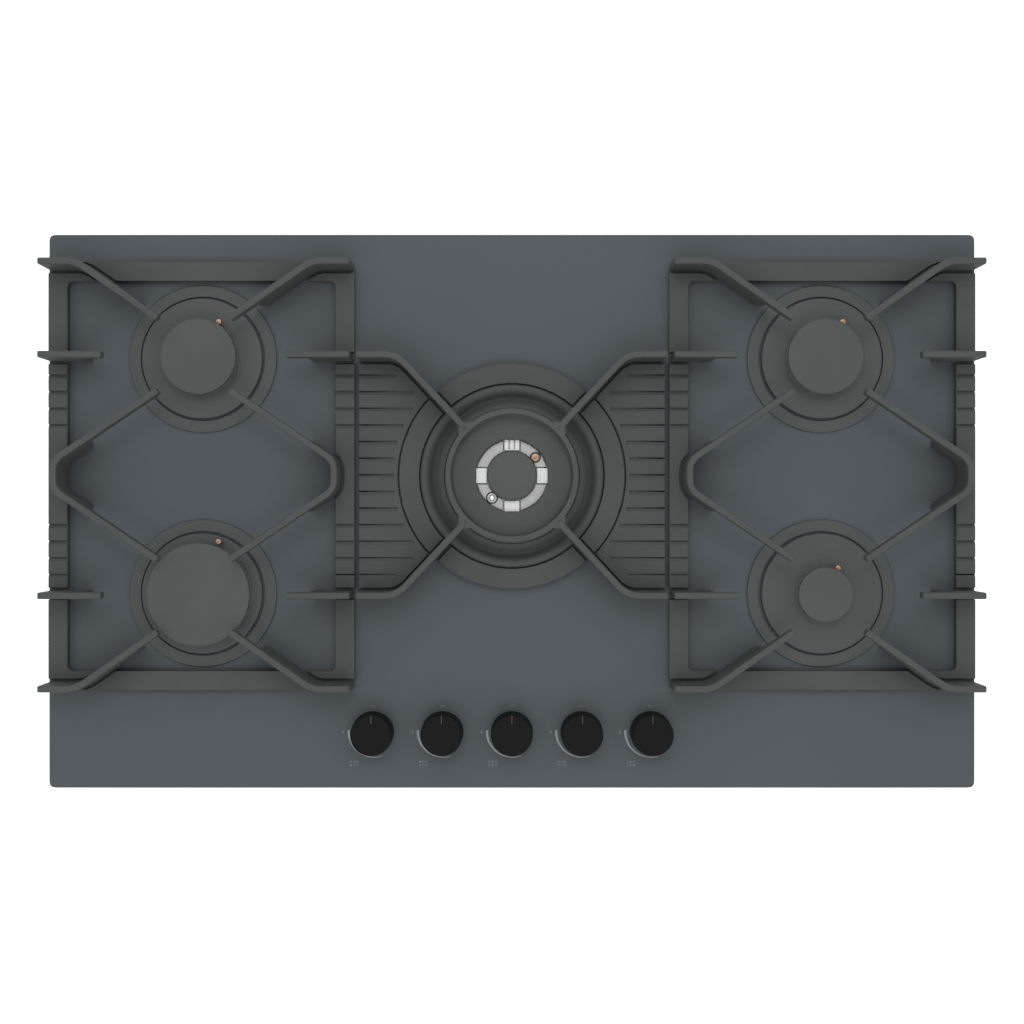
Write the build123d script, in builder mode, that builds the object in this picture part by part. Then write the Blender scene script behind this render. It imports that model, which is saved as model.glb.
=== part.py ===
"""Five-burner gas cooktop with a glass top, for building into a worktop.

X points right, Y to the rear and Z up.  The origin is the centre of the plane
on which the sealed rim of the glass rests on the worktop.  All sizes are in
millimetres.
"""

import os
from math import atan, cos, degrees, pi, radians, sin
from typing import NamedTuple

from build123d import *

os.makedirs("parts", exist_ok=True)

# --- Driving dimensions -------------------------------------------------------

# Glass panel and the seal under its rim
GLASS_LENGTH = 870.0
GLASS_DEPTH = 520.0
GLASS_THICKNESS = 6.0
GLASS_CORNER_R = 6.0
SEAL_THICKNESS = 2.0
SEAL_WIDTH = 12.0
SEAL_INSET = 4.0

# Pressed-steel burner box under the glass
BOX_CLEARANCE = 1.0
BOX_FLANGE = 5.0
BOX_HEIGHT = 54.0
BOX_CORNER = 14.0
SHEET = 1.0

# Raised corner of the box for the gas hose
RECESS_LENGTH = 90.0
RECESS_DEPTH = 62.0
RECESS_HEIGHT = 32.0

# Clamp holes and vent slots in the box floor
CLAMP_HOLE_R = 1.75
CLAMP_SPACING_X = 500.0
CLAMP_SPACING_Y = 380.0
VENT_SLOT_LENGTH = 40.0
VENT_SLOT_WIDTH = 4.0
VENT_SLOT_PITCH = 14.0
VENT_SLOT_COUNT = 5

# Control knobs, their spindles and the taps
KNOB_COUNT = 5
KNOB_PITCH = 65.0
KNOB_FRONT_MARGIN = 53.3
KNOB_RADIUS = 19.7
KNOB_HEIGHT = 22.5
KNOB_LIFT = 4.5
KNOB_STROKE = 3.0
KNOB_SOCKET_DEPTH = 14.5
KNOB_POINTER_WIDTH = 1.4
KNOB_POINTER_LENGTH = 8.5
KNOB_POINTER_DEPTH = 0.5
SPINDLE_R = 3.0
SPINDLE_FLAT = 1.0
SPINDLE_DEPTH = 20.0
RUNNING_FIT = 0.05
SPINDLE_HOLE_R = 7.0
TAP_LENGTH = 20.0
TAP_DEPTH = 24.0
TAP_TOP_GAP = 4.0

# Gas rail, pipes and inlet
RAIL_SIZE = 14.0
RAIL_END = 22.0
RAIL_FLOOR_GAP = 6.0
PIPE_R = 4.0
PIPE_DROP = 20.0
INLET_THREAD_R = 10.48
INLET_THREAD_LENGTH = 17.0
INLET_BORE_R = 7.0
INLET_HEX = 24.0
INLET_HEX_THICKNESS = 8.0
INLET_SPIGOT_R = 8.5
INLET_HEX_TURN = 30.0

# Electric ignition
MODULE_LENGTH = 72.0
MODULE_DEPTH = 40.0
MODULE_HEIGHT = 26.0
MODULE_TERMINAL = 5.0
MODULE_CHAMFER = 3.0
MODULE_X_MARGIN = 60.0
MODULE_Y_MARGIN = 24.0
GLAND_BORE_R = 3.6
GLAND_BARREL_R = 7.0
GLAND_HEX = 19.0
GLAND_FLANGE = 4.0
GLAND_BARREL_LENGTH = 9.0
CERAMIC_R = 2.6
CERAMIC_TOP = 15.0
ELECTRODE_WIDTH = 2.0
ELECTRODE_TOP = 18.5
PLUG_GAP = 0.2
PLUG_OFFSET = 2.0
PLUG_ANGLE = 62.0
PLUG_OFFSET_LARGE = 4.0
PLUG_ANGLE_LARGE = 70.5
CENTRE_PLUG_RADIUS = 27.6
CENTRE_PLUG_ANGLE = 38.0
SENSOR_ANGLE = 228.0
SENSOR_R = 2.2

# Side burners: cap radii from small to large
CAP_R_SMALL = 25.5
CAP_R_MIDDLE = 35.2
CAP_R_LARGE = 47.9
CAP_THICKNESS = 5.1
CAP_OVERHANG = 1.4
CROWN_HEIGHT = 13.0
PORT_PITCH = 16.0
PORT_WIDTH = 3.0
PORT_HEIGHT = 5.0
PORT_DEPTH = 6.0
BASE_RIM = 1.8
BASE_HEIGHT = 6.5
TRIM_GROOVE = 1.8
TRIM_WIDTH = 11.1
TRIM_HEIGHT = 2.5
TRIM_BEVEL = 1.0
CUP_R = 28.0
CUP_FLOOR_GAP = 17.0
HOLE_CLEARANCE = 2.0
BRIDGE_WIDTH = 24.0
HAT_FOOT = 7.0

# Centre burner with its two caps
BOWL_OUTER_R = 86.0
BOWL_VALLEY_R = 73.0
BOWL_INNER_R = 64.6
BOWL_LIP_HEIGHT = 7.0
BOWL_VALLEY_HEIGHT = 1.0
CENTRE_BASE_R = 63.0
CENTRE_CUP_R = 44.0
OUTER_CAP_R = 55.0
OUTER_CAP_BORE_R = 33.7
OUTER_CAP_EDGE = 2.5
INNER_CAP_R = 22.9
GAP_FLOOR_HEIGHT = 2.0
LINK_COUNT = 4
LINK_WIDTH = 14.0
LINK_DROP = 2.0

# Cast-iron grates
GRATE_SIDE_MARGIN = 2.0
GRATE_REAR_MARGIN = 27.0
GRATE_KNOB_GAP = 20.0
GRATE_GAP = 4.0
SIDE_GRATE_LENGTH = 286.0
GRATE_BAR = 18.0
GRATE_BAR_GAP = 2.8
GRATE_CORNER_R = 5.0
OPENING_CORNER_R = 6.0
FRAME_HEIGHT = 7.0
RIB_TOP = 44.0
RIB_WIDTH = 6.0
RIB_EDGE_INSET = 1.0
FINGER_DEPTH = 12.0
FINGER_ROOT = 22.0
CORNER_RIB_INSET = 5.0
CORNER_RIB_BEND = 35.3
TIP_OFFSET = 33.0
SHORT_RIB_LENGTH = 59.0
V_RIB_INSET = 15.0
V_RIB_HALF = 13.0
RIB_EASE = 6.0
RIB_GROOVE_WIDTH = 2.4
RIB_GROOVE_DEPTH = 5.0
CENTRE_RING_INNER_R = 86.7
CENTRE_RING_OUTER_R = 105.2
CENTRE_PLATE_HALF = 113.0
CENTRE_RIB_HALF = 110.0
CENTRE_RIB_BEND = 38.0
CENTRE_RIB_ANGLE = 45.0
CENTRE_PLATE_NECK = 60.0
CENTRE_PLATE_NECK_Y = 66.0
PAN_RING_INNER_R = 56.0
PAN_RING_OUTER_R = 61.0
PAN_RING_TOP = 38.0
PAN_RING_HEIGHT = 9.0
PAN_RING_ROOT = 18.0
FOOT_SIZE = 10.0
FOOT_HEIGHT = 2.0

# --- Places worked out from the driving dimensions ----------------------------

GLASS_UNDER = SEAL_THICKNESS
GLASS_TOP = GLASS_UNDER + GLASS_THICKNESS

SEAL_INNER_LENGTH = GLASS_LENGTH - 2 * (SEAL_INSET + SEAL_WIDTH)
SEAL_INNER_DEPTH = GLASS_DEPTH - 2 * (SEAL_INSET + SEAL_WIDTH)
FLANGE_LENGTH = SEAL_INNER_LENGTH - 2 * BOX_CLEARANCE
FLANGE_DEPTH = SEAL_INNER_DEPTH - 2 * BOX_CLEARANCE
BOX_LENGTH = FLANGE_LENGTH - 2 * BOX_FLANGE
BOX_DEPTH = FLANGE_DEPTH - 2 * BOX_FLANGE
BOX_BOTTOM = GLASS_UNDER - BOX_HEIGHT
FLOOR = BOX_BOTTOM + SHEET

KNOB_Y = -GLASS_DEPTH / 2 + KNOB_FRONT_MARGIN
KNOB_X = [(k - (KNOB_COUNT - 1) / 2) * KNOB_PITCH for k in range(KNOB_COUNT)]
KNOB_BOTTOM = GLASS_TOP + KNOB_LIFT
KNOB_TOP = KNOB_BOTTOM + KNOB_HEIGHT

GRATE_REAR = GLASS_DEPTH / 2 - GRATE_REAR_MARGIN
GRATE_FRONT = KNOB_Y + KNOB_RADIUS + GRATE_KNOB_GAP
GRATE_DEPTH = GRATE_REAR - GRATE_FRONT
GRATE_Y = (GRATE_REAR + GRATE_FRONT) / 2
SIDE_X = GLASS_LENGTH / 2 - GRATE_SIDE_MARGIN - SIDE_GRATE_LENGTH / 2
CENTRE_GRATE_LENGTH = 2 * (SIDE_X - SIDE_GRATE_LENGTH / 2 - GRATE_GAP)
FRAME_BOTTOM = GLASS_TOP + FOOT_HEIGHT
FRAME_TOP = FRAME_BOTTOM + FRAME_HEIGHT
RIB_TOP_Z = GLASS_TOP + RIB_TOP
FINGER_BOTTOM = RIB_TOP_Z - FINGER_DEPTH

BASE_R = CAP_R_LARGE + PLUG_OFFSET_LARGE + CERAMIC_R + BASE_RIM
TRIM_INNER_R = BASE_R + TRIM_GROOVE
TRIM_OUTER_R = TRIM_INNER_R + TRIM_WIDTH
BURNER_HALF_PITCH = GRATE_DEPTH / 2 - GRATE_BAR - GRATE_BAR_GAP - TRIM_OUTER_R
CROWN_BOTTOM = GLASS_TOP + BASE_HEIGHT
CROWN_TOP = CROWN_BOTTOM + CROWN_HEIGHT
CAP_TOP = CROWN_TOP + CAP_THICKNESS
CUP_BOTTOM = FLOOR + CUP_FLOOR_GAP
PAN_RING_BOTTOM = GLASS_TOP + PAN_RING_TOP - PAN_RING_HEIGHT

TAP_BOTTOM = FLOOR + RAIL_FLOOR_GAP + RAIL_SIZE
TAP_TOP = GLASS_UNDER - TAP_TOP_GAP
PIPE_Z = GLASS_UNDER - PIPE_DROP
SPINDLE_BOTTOM = TAP_TOP - SPINDLE_DEPTH
SPINDLE_TOP = KNOB_BOTTOM + KNOB_SOCKET_DEPTH

RECESS_FACE_Y = BOX_DEPTH / 2 - RECESS_DEPTH
INLET_X = BOX_LENGTH / 2 - RECESS_LENGTH / 2
RAIL_Z = FLOOR + RAIL_FLOOR_GAP + RAIL_SIZE / 2
MODULE_X = -BOX_LENGTH / 2 + MODULE_X_MARGIN + MODULE_LENGTH / 2
MODULE_Y = BOX_DEPTH / 2 - MODULE_Y_MARGIN - MODULE_DEPTH / 2
GLAND_X = MODULE_X + MODULE_LENGTH
GLAND_Z = FLOOR + MODULE_HEIGHT / 2


class Burner(NamedTuple):
    """A side burner: its name, axis, cap radius and the place of its spark plug."""

    name: str
    x: float
    y: float
    cap_r: float
    plug_offset: float = PLUG_OFFSET
    plug_angle: float = PLUG_ANGLE


REAR_Y = GRATE_Y + BURNER_HALF_PITCH
FRONT_Y = GRATE_Y - BURNER_HALF_PITCH
SIDE_BURNERS = [
    Burner("rear_left", -SIDE_X, REAR_Y, CAP_R_MIDDLE),
    Burner("rear_right", SIDE_X, REAR_Y, CAP_R_MIDDLE),
    Burner("front_left", -SIDE_X, FRONT_Y, CAP_R_LARGE, PLUG_OFFSET_LARGE, PLUG_ANGLE_LARGE),
    Burner("front_right", SIDE_X, FRONT_Y, CAP_R_SMALL),
]
SIDE_PLACES = [(b.x, b.y) for b in SIDE_BURNERS]
CENTRE = (0.0, GRATE_Y)
KNOB_PLACES = [(x, KNOB_Y) for x in KNOB_X]


# --- Helpers ------------------------------------------------------------------


def save(piece, name):
    """Label a finished piece and write it out as its own STEP file."""
    piece.part.label = name
    export_step(piece.part, f"parts/{name}.step")


def section(place):
    """The upright plane through place, drawn in (radius, height), for a turned piece."""
    return Plane(origin=(*place, 0), x_dir=(1, 0, 0), z_dir=(0, -1, 0))


def upright(place):
    """The vertical axis through place."""
    return Axis((*place, 0), (0, 0, 1))


def outline(points):
    """A closed outline of straight edges, filled, in the sketch being drawn."""
    Polygon(*points, align=None)


def polar(place, radius, angle):
    """The point at a radius and an angle in degrees from a place."""
    x, y = place
    return (x + radius * cos(radians(angle)), y + radius * sin(radians(angle)))


def ribbon(points, width):
    """Corner points of a strip of even width along a bent line, with mitred bends."""
    runs = [(Vector(*b) - Vector(*a)).normalized() for a, b in zip(points, points[1:])]
    left = []
    right = []
    for point, before, after in zip(points, runs[:1] + runs, runs + runs[-1:]):
        normal = Vector(-before.Y, before.X)
        bisector = (normal + Vector(-after.Y, after.X)).normalized()
        reach = bisector * (width / 2 / bisector.dot(normal))
        left.append(Vector(*point) + reach)
        right.append(Vector(*point) - reach)
    return [(corner.X, corner.Y) for corner in left + right[::-1]]


def four_ways(points, place):
    """A bent line, drawn from a piece's own centre, in all four quadrants at place."""
    return [
        [(place[0] + x * i, place[1] + y * j) for x, y in points]
        for i in (1, -1)
        for j in (1, -1)
    ]


def eased(points, reach):
    """A bent line whose inner bends are each cut by a short straight of its own."""
    path = [points[0]]
    for before, bend, after in zip(points, points[1:], points[2:]):
        for end in (before, after):
            step = (Vector(*end) - Vector(*bend)).normalized() * reach
            path.append((bend[0] + step.X, bend[1] + step.Y))
    return path + [points[-1]]


def to_edge(points, half_length):
    """A bent line whose first point is moved out to the edge of its plate."""
    return [(half_length, points[0][1]), *points[1:]]


def strips(lines, width):
    """Faces of even width along bent lines, in the sketch being drawn."""
    for line in lines:
        outline(ribbon(line, width))


def hat(width, height):
    """Centre line, as (y, z), of a folded strip that stands on the box floor."""
    low = FLOOR + SHEET / 2
    top = FLOOR + height - SHEET / 2
    half = width / 2 - SHEET / 2
    foot = half + HAT_FOOT
    return [(-foot, low), (-half, low), (-half, top), (half, top), (half, low), (foot, low)]


# --- Glass, seal and burner box -----------------------------------------------

with BuildPart() as glass_panel:
    with BuildSketch(Plane.XY.offset(GLASS_UNDER)):
        RectangleRounded(GLASS_LENGTH, GLASS_DEPTH, GLASS_CORNER_R)
        with Locations(*SIDE_PLACES):
            Circle(CUP_R + HOLE_CLEARANCE, mode=Mode.SUBTRACT)
        with Locations(CENTRE):
            Circle(CENTRE_CUP_R + HOLE_CLEARANCE, mode=Mode.SUBTRACT)
        with Locations(*KNOB_PLACES):
            Circle(SPINDLE_HOLE_R, mode=Mode.SUBTRACT)
    extrude(amount=GLASS_THICKNESS)
save(glass_panel, "glass_panel")

with BuildPart() as worktop_seal:
    with BuildSketch():
        RectangleRounded(GLASS_LENGTH - 2 * SEAL_INSET, GLASS_DEPTH - 2 * SEAL_INSET, GLASS_CORNER_R)
        Rectangle(SEAL_INNER_LENGTH, SEAL_INNER_DEPTH, mode=Mode.SUBTRACT)
    extrude(amount=SEAL_THICKNESS)
save(worktop_seal, "worktop_seal")

with BuildPart() as burner_box:
    with BuildSketch(Plane.XY.offset(BOX_BOTTOM)) as tray:
        Rectangle(BOX_LENGTH, BOX_DEPTH)
        chamfer(tray.vertices(), BOX_CORNER)
    extrude(amount=BOX_HEIGHT)
    with BuildSketch(Plane.XY.offset(BOX_BOTTOM)):
        with Locations((BOX_LENGTH / 2, BOX_DEPTH / 2)):
            Rectangle(2 * RECESS_LENGTH, 2 * RECESS_DEPTH)
    extrude(amount=RECESS_HEIGHT, mode=Mode.SUBTRACT)
    offset(amount=-SHEET, openings=burner_box.faces().sort_by(Axis.Z)[-1])
    with BuildSketch(Plane.XY.offset(GLASS_UNDER)):
        Rectangle(FLANGE_LENGTH, FLANGE_DEPTH)
        add(tray.sketch_local, mode=Mode.SUBTRACT)
    extrude(amount=-SHEET)
    with BuildSketch(Plane.XY.offset(BOX_BOTTOM)):
        with GridLocations(CLAMP_SPACING_X, CLAMP_SPACING_Y, 2, 2):
            Circle(CLAMP_HOLE_R)
        with GridLocations(0, VENT_SLOT_PITCH, 1, VENT_SLOT_COUNT):
            Rectangle(VENT_SLOT_LENGTH, VENT_SLOT_WIDTH)
    extrude(amount=SHEET, mode=Mode.SUBTRACT)
    with Locations(Plane(origin=(INLET_X, RECESS_FACE_Y, RAIL_Z), z_dir=(0, 1, 0))):
        Hole(INLET_SPIGOT_R + PLUG_GAP, depth=2 * SHEET)
    with Locations(Plane(origin=(GLAND_X, BOX_DEPTH / 2, GLAND_Z), z_dir=(0, 1, 0))):
        Hole(GLAND_BARREL_R + PLUG_GAP, depth=2 * SHEET)
save(burner_box, "burner_box")


# --- Gas supply and taps ------------------------------------------------------

RAIL_LEFT = KNOB_X[0] - RAIL_END
FEED_LEFT = INLET_X - RAIL_SIZE / 2
FEED_REAR = RECESS_FACE_Y - SHEET

with BuildPart() as gas_rail:
    with BuildSketch(Plane.XY.offset(RAIL_Z - RAIL_SIZE / 2)):
        strips([[(RAIL_LEFT, KNOB_Y), (FEED_LEFT, KNOB_Y)]], RAIL_SIZE)
    extrude(amount=RAIL_SIZE)
save(gas_rail, "gas_rail")

with BuildPart() as rail_bracket:
    with BuildSketch(Plane(origin=(0, KNOB_Y, 0), x_dir=(0, 1, 0), z_dir=(1, 0, 0))):
        strips([hat(RAIL_SIZE, RAIL_FLOOR_GAP)], SHEET)
    extrude(amount=KNOB_X[-1], both=True)
save(rail_bracket, "rail_bracket")

inlet_axis = Plane(origin=(INLET_X, RECESS_FACE_Y, RAIL_Z), x_dir=(1, 0, 0), z_dir=(0, 1, 0))

with BuildPart() as gas_feed:
    with BuildSketch(Plane.XY.offset(RAIL_Z - RAIL_SIZE / 2)):
        strips([[(INLET_X, KNOB_Y - RAIL_SIZE / 2), (INLET_X, FEED_REAR)]], RAIL_SIZE)
    extrude(amount=RAIL_SIZE)
    with BuildSketch(inlet_axis):
        Circle(INLET_SPIGOT_R)
    extrude(amount=-SHEET)
    with BuildSketch(inlet_axis):
        RegularPolygon(INLET_HEX / 2, 6, major_radius=False, rotation=INLET_HEX_TURN)
    extrude(amount=INLET_HEX_THICKNESS)
    with BuildSketch(inlet_axis.offset(INLET_HEX_THICKNESS)):
        Circle(INLET_THREAD_R)
    extrude(amount=INLET_THREAD_LENGTH)
    with Locations(gas_feed.faces().sort_by(Axis.Y)[-1]):
        Hole(INLET_BORE_R, depth=INLET_THREAD_LENGTH)
save(gas_feed, "gas_feed")

with BuildPart() as gas_taps:
    with BuildSketch(Plane.XY.offset(TAP_BOTTOM)):
        with Locations(*KNOB_PLACES):
            Rectangle(TAP_LENGTH, TAP_DEPTH)
    extrude(amount=TAP_TOP - TAP_BOTTOM)
    with BuildSketch(Plane.XY.offset(TAP_TOP)):
        with Locations(*KNOB_PLACES):
            Circle(SPINDLE_R + RUNNING_FIT)
    extrude(amount=-SPINDLE_DEPTH, mode=Mode.SUBTRACT)
save(gas_taps, "gas_taps")

# Each tap feeds one burner through a straight pipe from the tap's rear face.
PIPE_ENDS = [
    (SIDE_PLACES[2], CUP_R),
    (SIDE_PLACES[0], CUP_R),
    (CENTRE, CENTRE_CUP_R),
    (SIDE_PLACES[1], CUP_R),
    (SIDE_PLACES[3], CUP_R),
]

with BuildPart() as gas_pipes:
    for place, (end, cup_r) in zip(KNOB_PLACES, PIPE_ENDS):
        start = Vector(*place, PIPE_Z)
        run = Vector(*end, PIPE_Z) - start
        with BuildSketch(Plane(origin=start, z_dir=run)):
            Circle(PIPE_R)
        extrude(amount=run.length - cup_r)
    with BuildSketch(Plane.XY.offset(TAP_BOTTOM)):
        with Locations(*KNOB_PLACES):
            Rectangle(TAP_LENGTH, TAP_DEPTH)
    extrude(amount=TAP_TOP - TAP_BOTTOM, mode=Mode.SUBTRACT)
save(gas_pipes, "gas_pipes")

# --- Electric ignition --------------------------------------------------------

with BuildPart() as ignition_module:
    with BuildSketch(Plane.XY.offset(FLOOR)):
        with Locations((MODULE_X, MODULE_Y)):
            Rectangle(MODULE_LENGTH, MODULE_DEPTH)
    extrude(amount=MODULE_HEIGHT)
    chamfer(ignition_module.edges().filter_by(Axis.Z), MODULE_CHAMFER)
    terminal_row = (MODULE_X, MODULE_Y - MODULE_DEPTH / 2 + MODULE_TERMINAL)
    with BuildSketch(Plane.XY.offset(FLOOR + MODULE_HEIGHT)):
        with Locations(terminal_row):
            with GridLocations(2 * MODULE_TERMINAL, 0, KNOB_COUNT, 1):
                Rectangle(MODULE_TERMINAL, MODULE_TERMINAL)
    extrude(amount=MODULE_TERMINAL)
save(ignition_module, "ignition_module")

gland_axis = Plane(origin=(GLAND_X, BOX_DEPTH / 2, GLAND_Z), x_dir=(1, 0, 0), z_dir=(0, 1, 0))

with BuildPart() as cable_gland:
    with BuildSketch(gland_axis):
        RegularPolygon(GLAND_HEX / 2, 6, major_radius=False)
    extrude(amount=GLAND_FLANGE)
    with BuildSketch(gland_axis):
        Circle(GLAND_BARREL_R)
    extrude(amount=-GLAND_BARREL_LENGTH)
    with Locations(cable_gland.faces().sort_by(Axis.Y)[-1]):
        Hole(GLAND_BORE_R)
save(cable_gland, "cable_gland")

# --- Side burners -------------------------------------------------------------

with BuildPart() as burner_bridges:
    for y in (REAR_Y, FRONT_Y):
        with BuildSketch(Plane(origin=(0, y, 0), x_dir=(0, 1, 0), z_dir=(1, 0, 0))):
            strips([hat(BRIDGE_WIDTH, CUP_FLOOR_GAP)], SHEET)
        extrude(amount=SIDE_X + CUP_R, both=True)
    with BuildSketch(Plane(origin=(0, GRATE_Y, 0), x_dir=(0, 1, 0), z_dir=(1, 0, 0))):
        strips([hat(BRIDGE_WIDTH, CUP_FLOOR_GAP)], SHEET)
    extrude(amount=CENTRE_CUP_R, both=True)
save(burner_bridges, "burner_bridges")

with BuildPart() as burner_cups:
    with BuildSketch(Plane.XY.offset(CUP_BOTTOM)):
        with Locations(*SIDE_PLACES):
            Circle(CUP_R)
        with Locations(CENTRE):
            Circle(CENTRE_CUP_R)
    extrude(amount=GLASS_TOP - CUP_BOTTOM)
save(burner_cups, "burner_cups")

with BuildPart() as burner_trims:
    for place in SIDE_PLACES:
        with BuildSketch(section(place)):
            outline(
                [
                    (TRIM_INNER_R, GLASS_TOP),
                    (TRIM_OUTER_R, GLASS_TOP),
                    (TRIM_OUTER_R - TRIM_BEVEL, GLASS_TOP + TRIM_HEIGHT),
                    (TRIM_INNER_R, GLASS_TOP + TRIM_HEIGHT),
                ]
            )
        revolve(axis=upright(place))
    with BuildSketch(section(CENTRE)):
        outline(
            [
                (BOWL_INNER_R, GLASS_TOP),
                (BOWL_OUTER_R, GLASS_TOP),
                (BOWL_OUTER_R, GLASS_TOP + BOWL_LIP_HEIGHT),
                (BOWL_VALLEY_R, GLASS_TOP + BOWL_VALLEY_HEIGHT),
                (BOWL_INNER_R, GLASS_TOP + BOWL_LIP_HEIGHT),
            ]
        )
    revolve(axis=upright(CENTRE))
save(burner_trims, "burner_trims")

CENTRE_PLUG = polar(CENTRE, CENTRE_PLUG_RADIUS, CENTRE_PLUG_ANGLE)
SENSOR = polar(CENTRE, CENTRE_PLUG_RADIUS, SENSOR_ANGLE)
PLUG_PLACES = [polar((b.x, b.y), b.cap_r + b.plug_offset, b.plug_angle) for b in SIDE_BURNERS]
PLUG_PLACES.append(CENTRE_PLUG)
PLUG_HOLE = 2 * (CERAMIC_R + PLUG_GAP)

with BuildPart() as burner_bases:
    with BuildSketch(Plane.XY.offset(GLASS_TOP)):
        with Locations(*SIDE_PLACES):
            Circle(BASE_R)
        with Locations(CENTRE):
            Circle(CENTRE_BASE_R)
        with Locations(*PLUG_PLACES, SENSOR):
            Rectangle(PLUG_HOLE, PLUG_HOLE, mode=Mode.SUBTRACT)
    extrude(amount=BASE_HEIGHT)
save(burner_bases, "burner_bases")


def port_count(radius):
    """How many burner ports fit round a crown."""
    return round(2 * pi * radius / PORT_PITCH)


CROWNS = [((b.x, b.y), b.cap_r - CAP_OVERHANG) for b in SIDE_BURNERS]
CROWNS.append((CENTRE, OUTER_CAP_R - CAP_OVERHANG))
INNER_CROWN_R = INNER_CAP_R - CAP_OVERHANG
LINK_REACH = (OUTER_CAP_BORE_R + INNER_CROWN_R) / 2
LINK_LENGTH = OUTER_CAP_BORE_R - INNER_CROWN_R + 2 * CAP_OVERHANG

with BuildPart() as burner_crowns:
    for place, crown_r in CROWNS:
        with BuildSketch(Plane.XY.offset(CROWN_BOTTOM)):
            with Locations(place):
                Circle(crown_r)
        extrude(amount=CROWN_HEIGHT)
        with BuildSketch(Plane.XY.offset(CROWN_TOP)):
            with Locations(place):
                with PolarLocations(crown_r, port_count(crown_r)):
                    Rectangle(2 * PORT_DEPTH, PORT_WIDTH)
        extrude(amount=-PORT_HEIGHT, mode=Mode.SUBTRACT)
    # The centre crown carries a small inner crown, joined by links across the gap.
    with BuildSketch(Plane.XY.offset(CROWN_TOP)):
        with Locations(CENTRE):
            Circle(OUTER_CAP_BORE_R)
            Circle(INNER_CROWN_R, mode=Mode.SUBTRACT)
    extrude(amount=GAP_FLOOR_HEIGHT - CROWN_HEIGHT, mode=Mode.SUBTRACT)
    with BuildSketch(Plane.XY.offset(CROWN_BOTTOM)):
        with Locations(CENTRE):
            with PolarLocations(LINK_REACH, LINK_COUNT):
                Rectangle(LINK_LENGTH, LINK_WIDTH)
    extrude(amount=CROWN_HEIGHT - LINK_DROP)
    with BuildSketch(Plane.XY.offset(CROWN_BOTTOM)):
        with Locations(CENTRE_PLUG, SENSOR):
            Rectangle(PLUG_HOLE, PLUG_HOLE)
    extrude(amount=CROWN_HEIGHT, mode=Mode.SUBTRACT)
save(burner_crowns, "burner_crowns")

with BuildPart() as spark_plugs:
    with BuildSketch(Plane.XY.offset(GLASS_TOP)):
        with Locations(*PLUG_PLACES):
            Circle(CERAMIC_R)
    extrude(amount=CERAMIC_TOP)
    with BuildSketch(Plane.XY.offset(GLASS_TOP + CERAMIC_TOP)):
        with Locations(*PLUG_PLACES):
            Rectangle(ELECTRODE_WIDTH, ELECTRODE_WIDTH)
    extrude(amount=ELECTRODE_TOP - CERAMIC_TOP)
save(spark_plugs, "spark_plugs")

with BuildPart() as flame_sensor:
    with BuildSketch(Plane.XY.offset(GLASS_TOP)):
        with Locations(SENSOR):
            Circle(SENSOR_R)
    extrude(amount=ELECTRODE_TOP)
save(flame_sensor, "flame_sensor")

for burner in SIDE_BURNERS:
    with BuildPart() as cap:
        with BuildSketch(Plane.XY.offset(CROWN_TOP)):
            with Locations((burner.x, burner.y)):
                Circle(burner.cap_r)
        extrude(amount=CAP_THICKNESS)
    save(cap, f"cap_{burner.name}")

with BuildPart() as centre_outer_cap:
    with BuildSketch(section(CENTRE)):
        outline(
            [
                (OUTER_CAP_BORE_R, CROWN_TOP),
                (OUTER_CAP_R, CROWN_TOP),
                (OUTER_CAP_R, CROWN_TOP + OUTER_CAP_EDGE),
                (OUTER_CAP_BORE_R, CAP_TOP),
            ]
        )
    revolve(axis=upright(CENTRE))
save(centre_outer_cap, "centre_outer_cap")

with BuildPart() as centre_inner_cap:
    with BuildSketch(Plane.XY.offset(CROWN_TOP)):
        with Locations(CENTRE):
            Circle(INNER_CAP_R)
    extrude(amount=CAP_THICKNESS)
save(centre_inner_cap, "centre_inner_cap")

# --- Control knobs ------------------------------------------------------------

for number, place in enumerate(KNOB_PLACES, start=1):
    with BuildPart() as spindle:
        with BuildSketch(Plane.XY.offset(SPINDLE_BOTTOM)):
            with Locations(place):
                Circle(SPINDLE_R)
                with Locations((0, SPINDLE_R)):
                    Rectangle(2 * SPINDLE_R, 2 * SPINDLE_FLAT, mode=Mode.SUBTRACT)
        extrude(amount=SPINDLE_TOP - SPINDLE_BOTTOM)
    save(spindle, f"spindle_{number}")

    with BuildPart() as knob:
        with BuildSketch(Plane.XY.offset(KNOB_BOTTOM)):
            with Locations(place):
                Circle(KNOB_RADIUS)
        extrude(amount=KNOB_HEIGHT)
        with BuildSketch(Plane.XY.offset(KNOB_BOTTOM)):
            with Locations(place):
                Circle(SPINDLE_R + RUNNING_FIT)
                with Locations((0, SPINDLE_R + RUNNING_FIT)):
                    Rectangle(4 * SPINDLE_R, 2 * SPINDLE_FLAT, mode=Mode.SUBTRACT)
        extrude(amount=KNOB_SOCKET_DEPTH + KNOB_STROKE + PLUG_GAP, mode=Mode.SUBTRACT)
        pointer_y = place[1] + KNOB_RADIUS - KNOB_POINTER_LENGTH / 2
        with BuildSketch(Plane.XY.offset(KNOB_TOP)):
            with Locations((place[0], pointer_y)):
                Rectangle(KNOB_POINTER_WIDTH, KNOB_POINTER_LENGTH)
        extrude(amount=-KNOB_POINTER_DEPTH, mode=Mode.SUBTRACT)
    save(knob, f"knob_{number}")

# --- Cast-iron grates ---------------------------------------------------------

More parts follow.
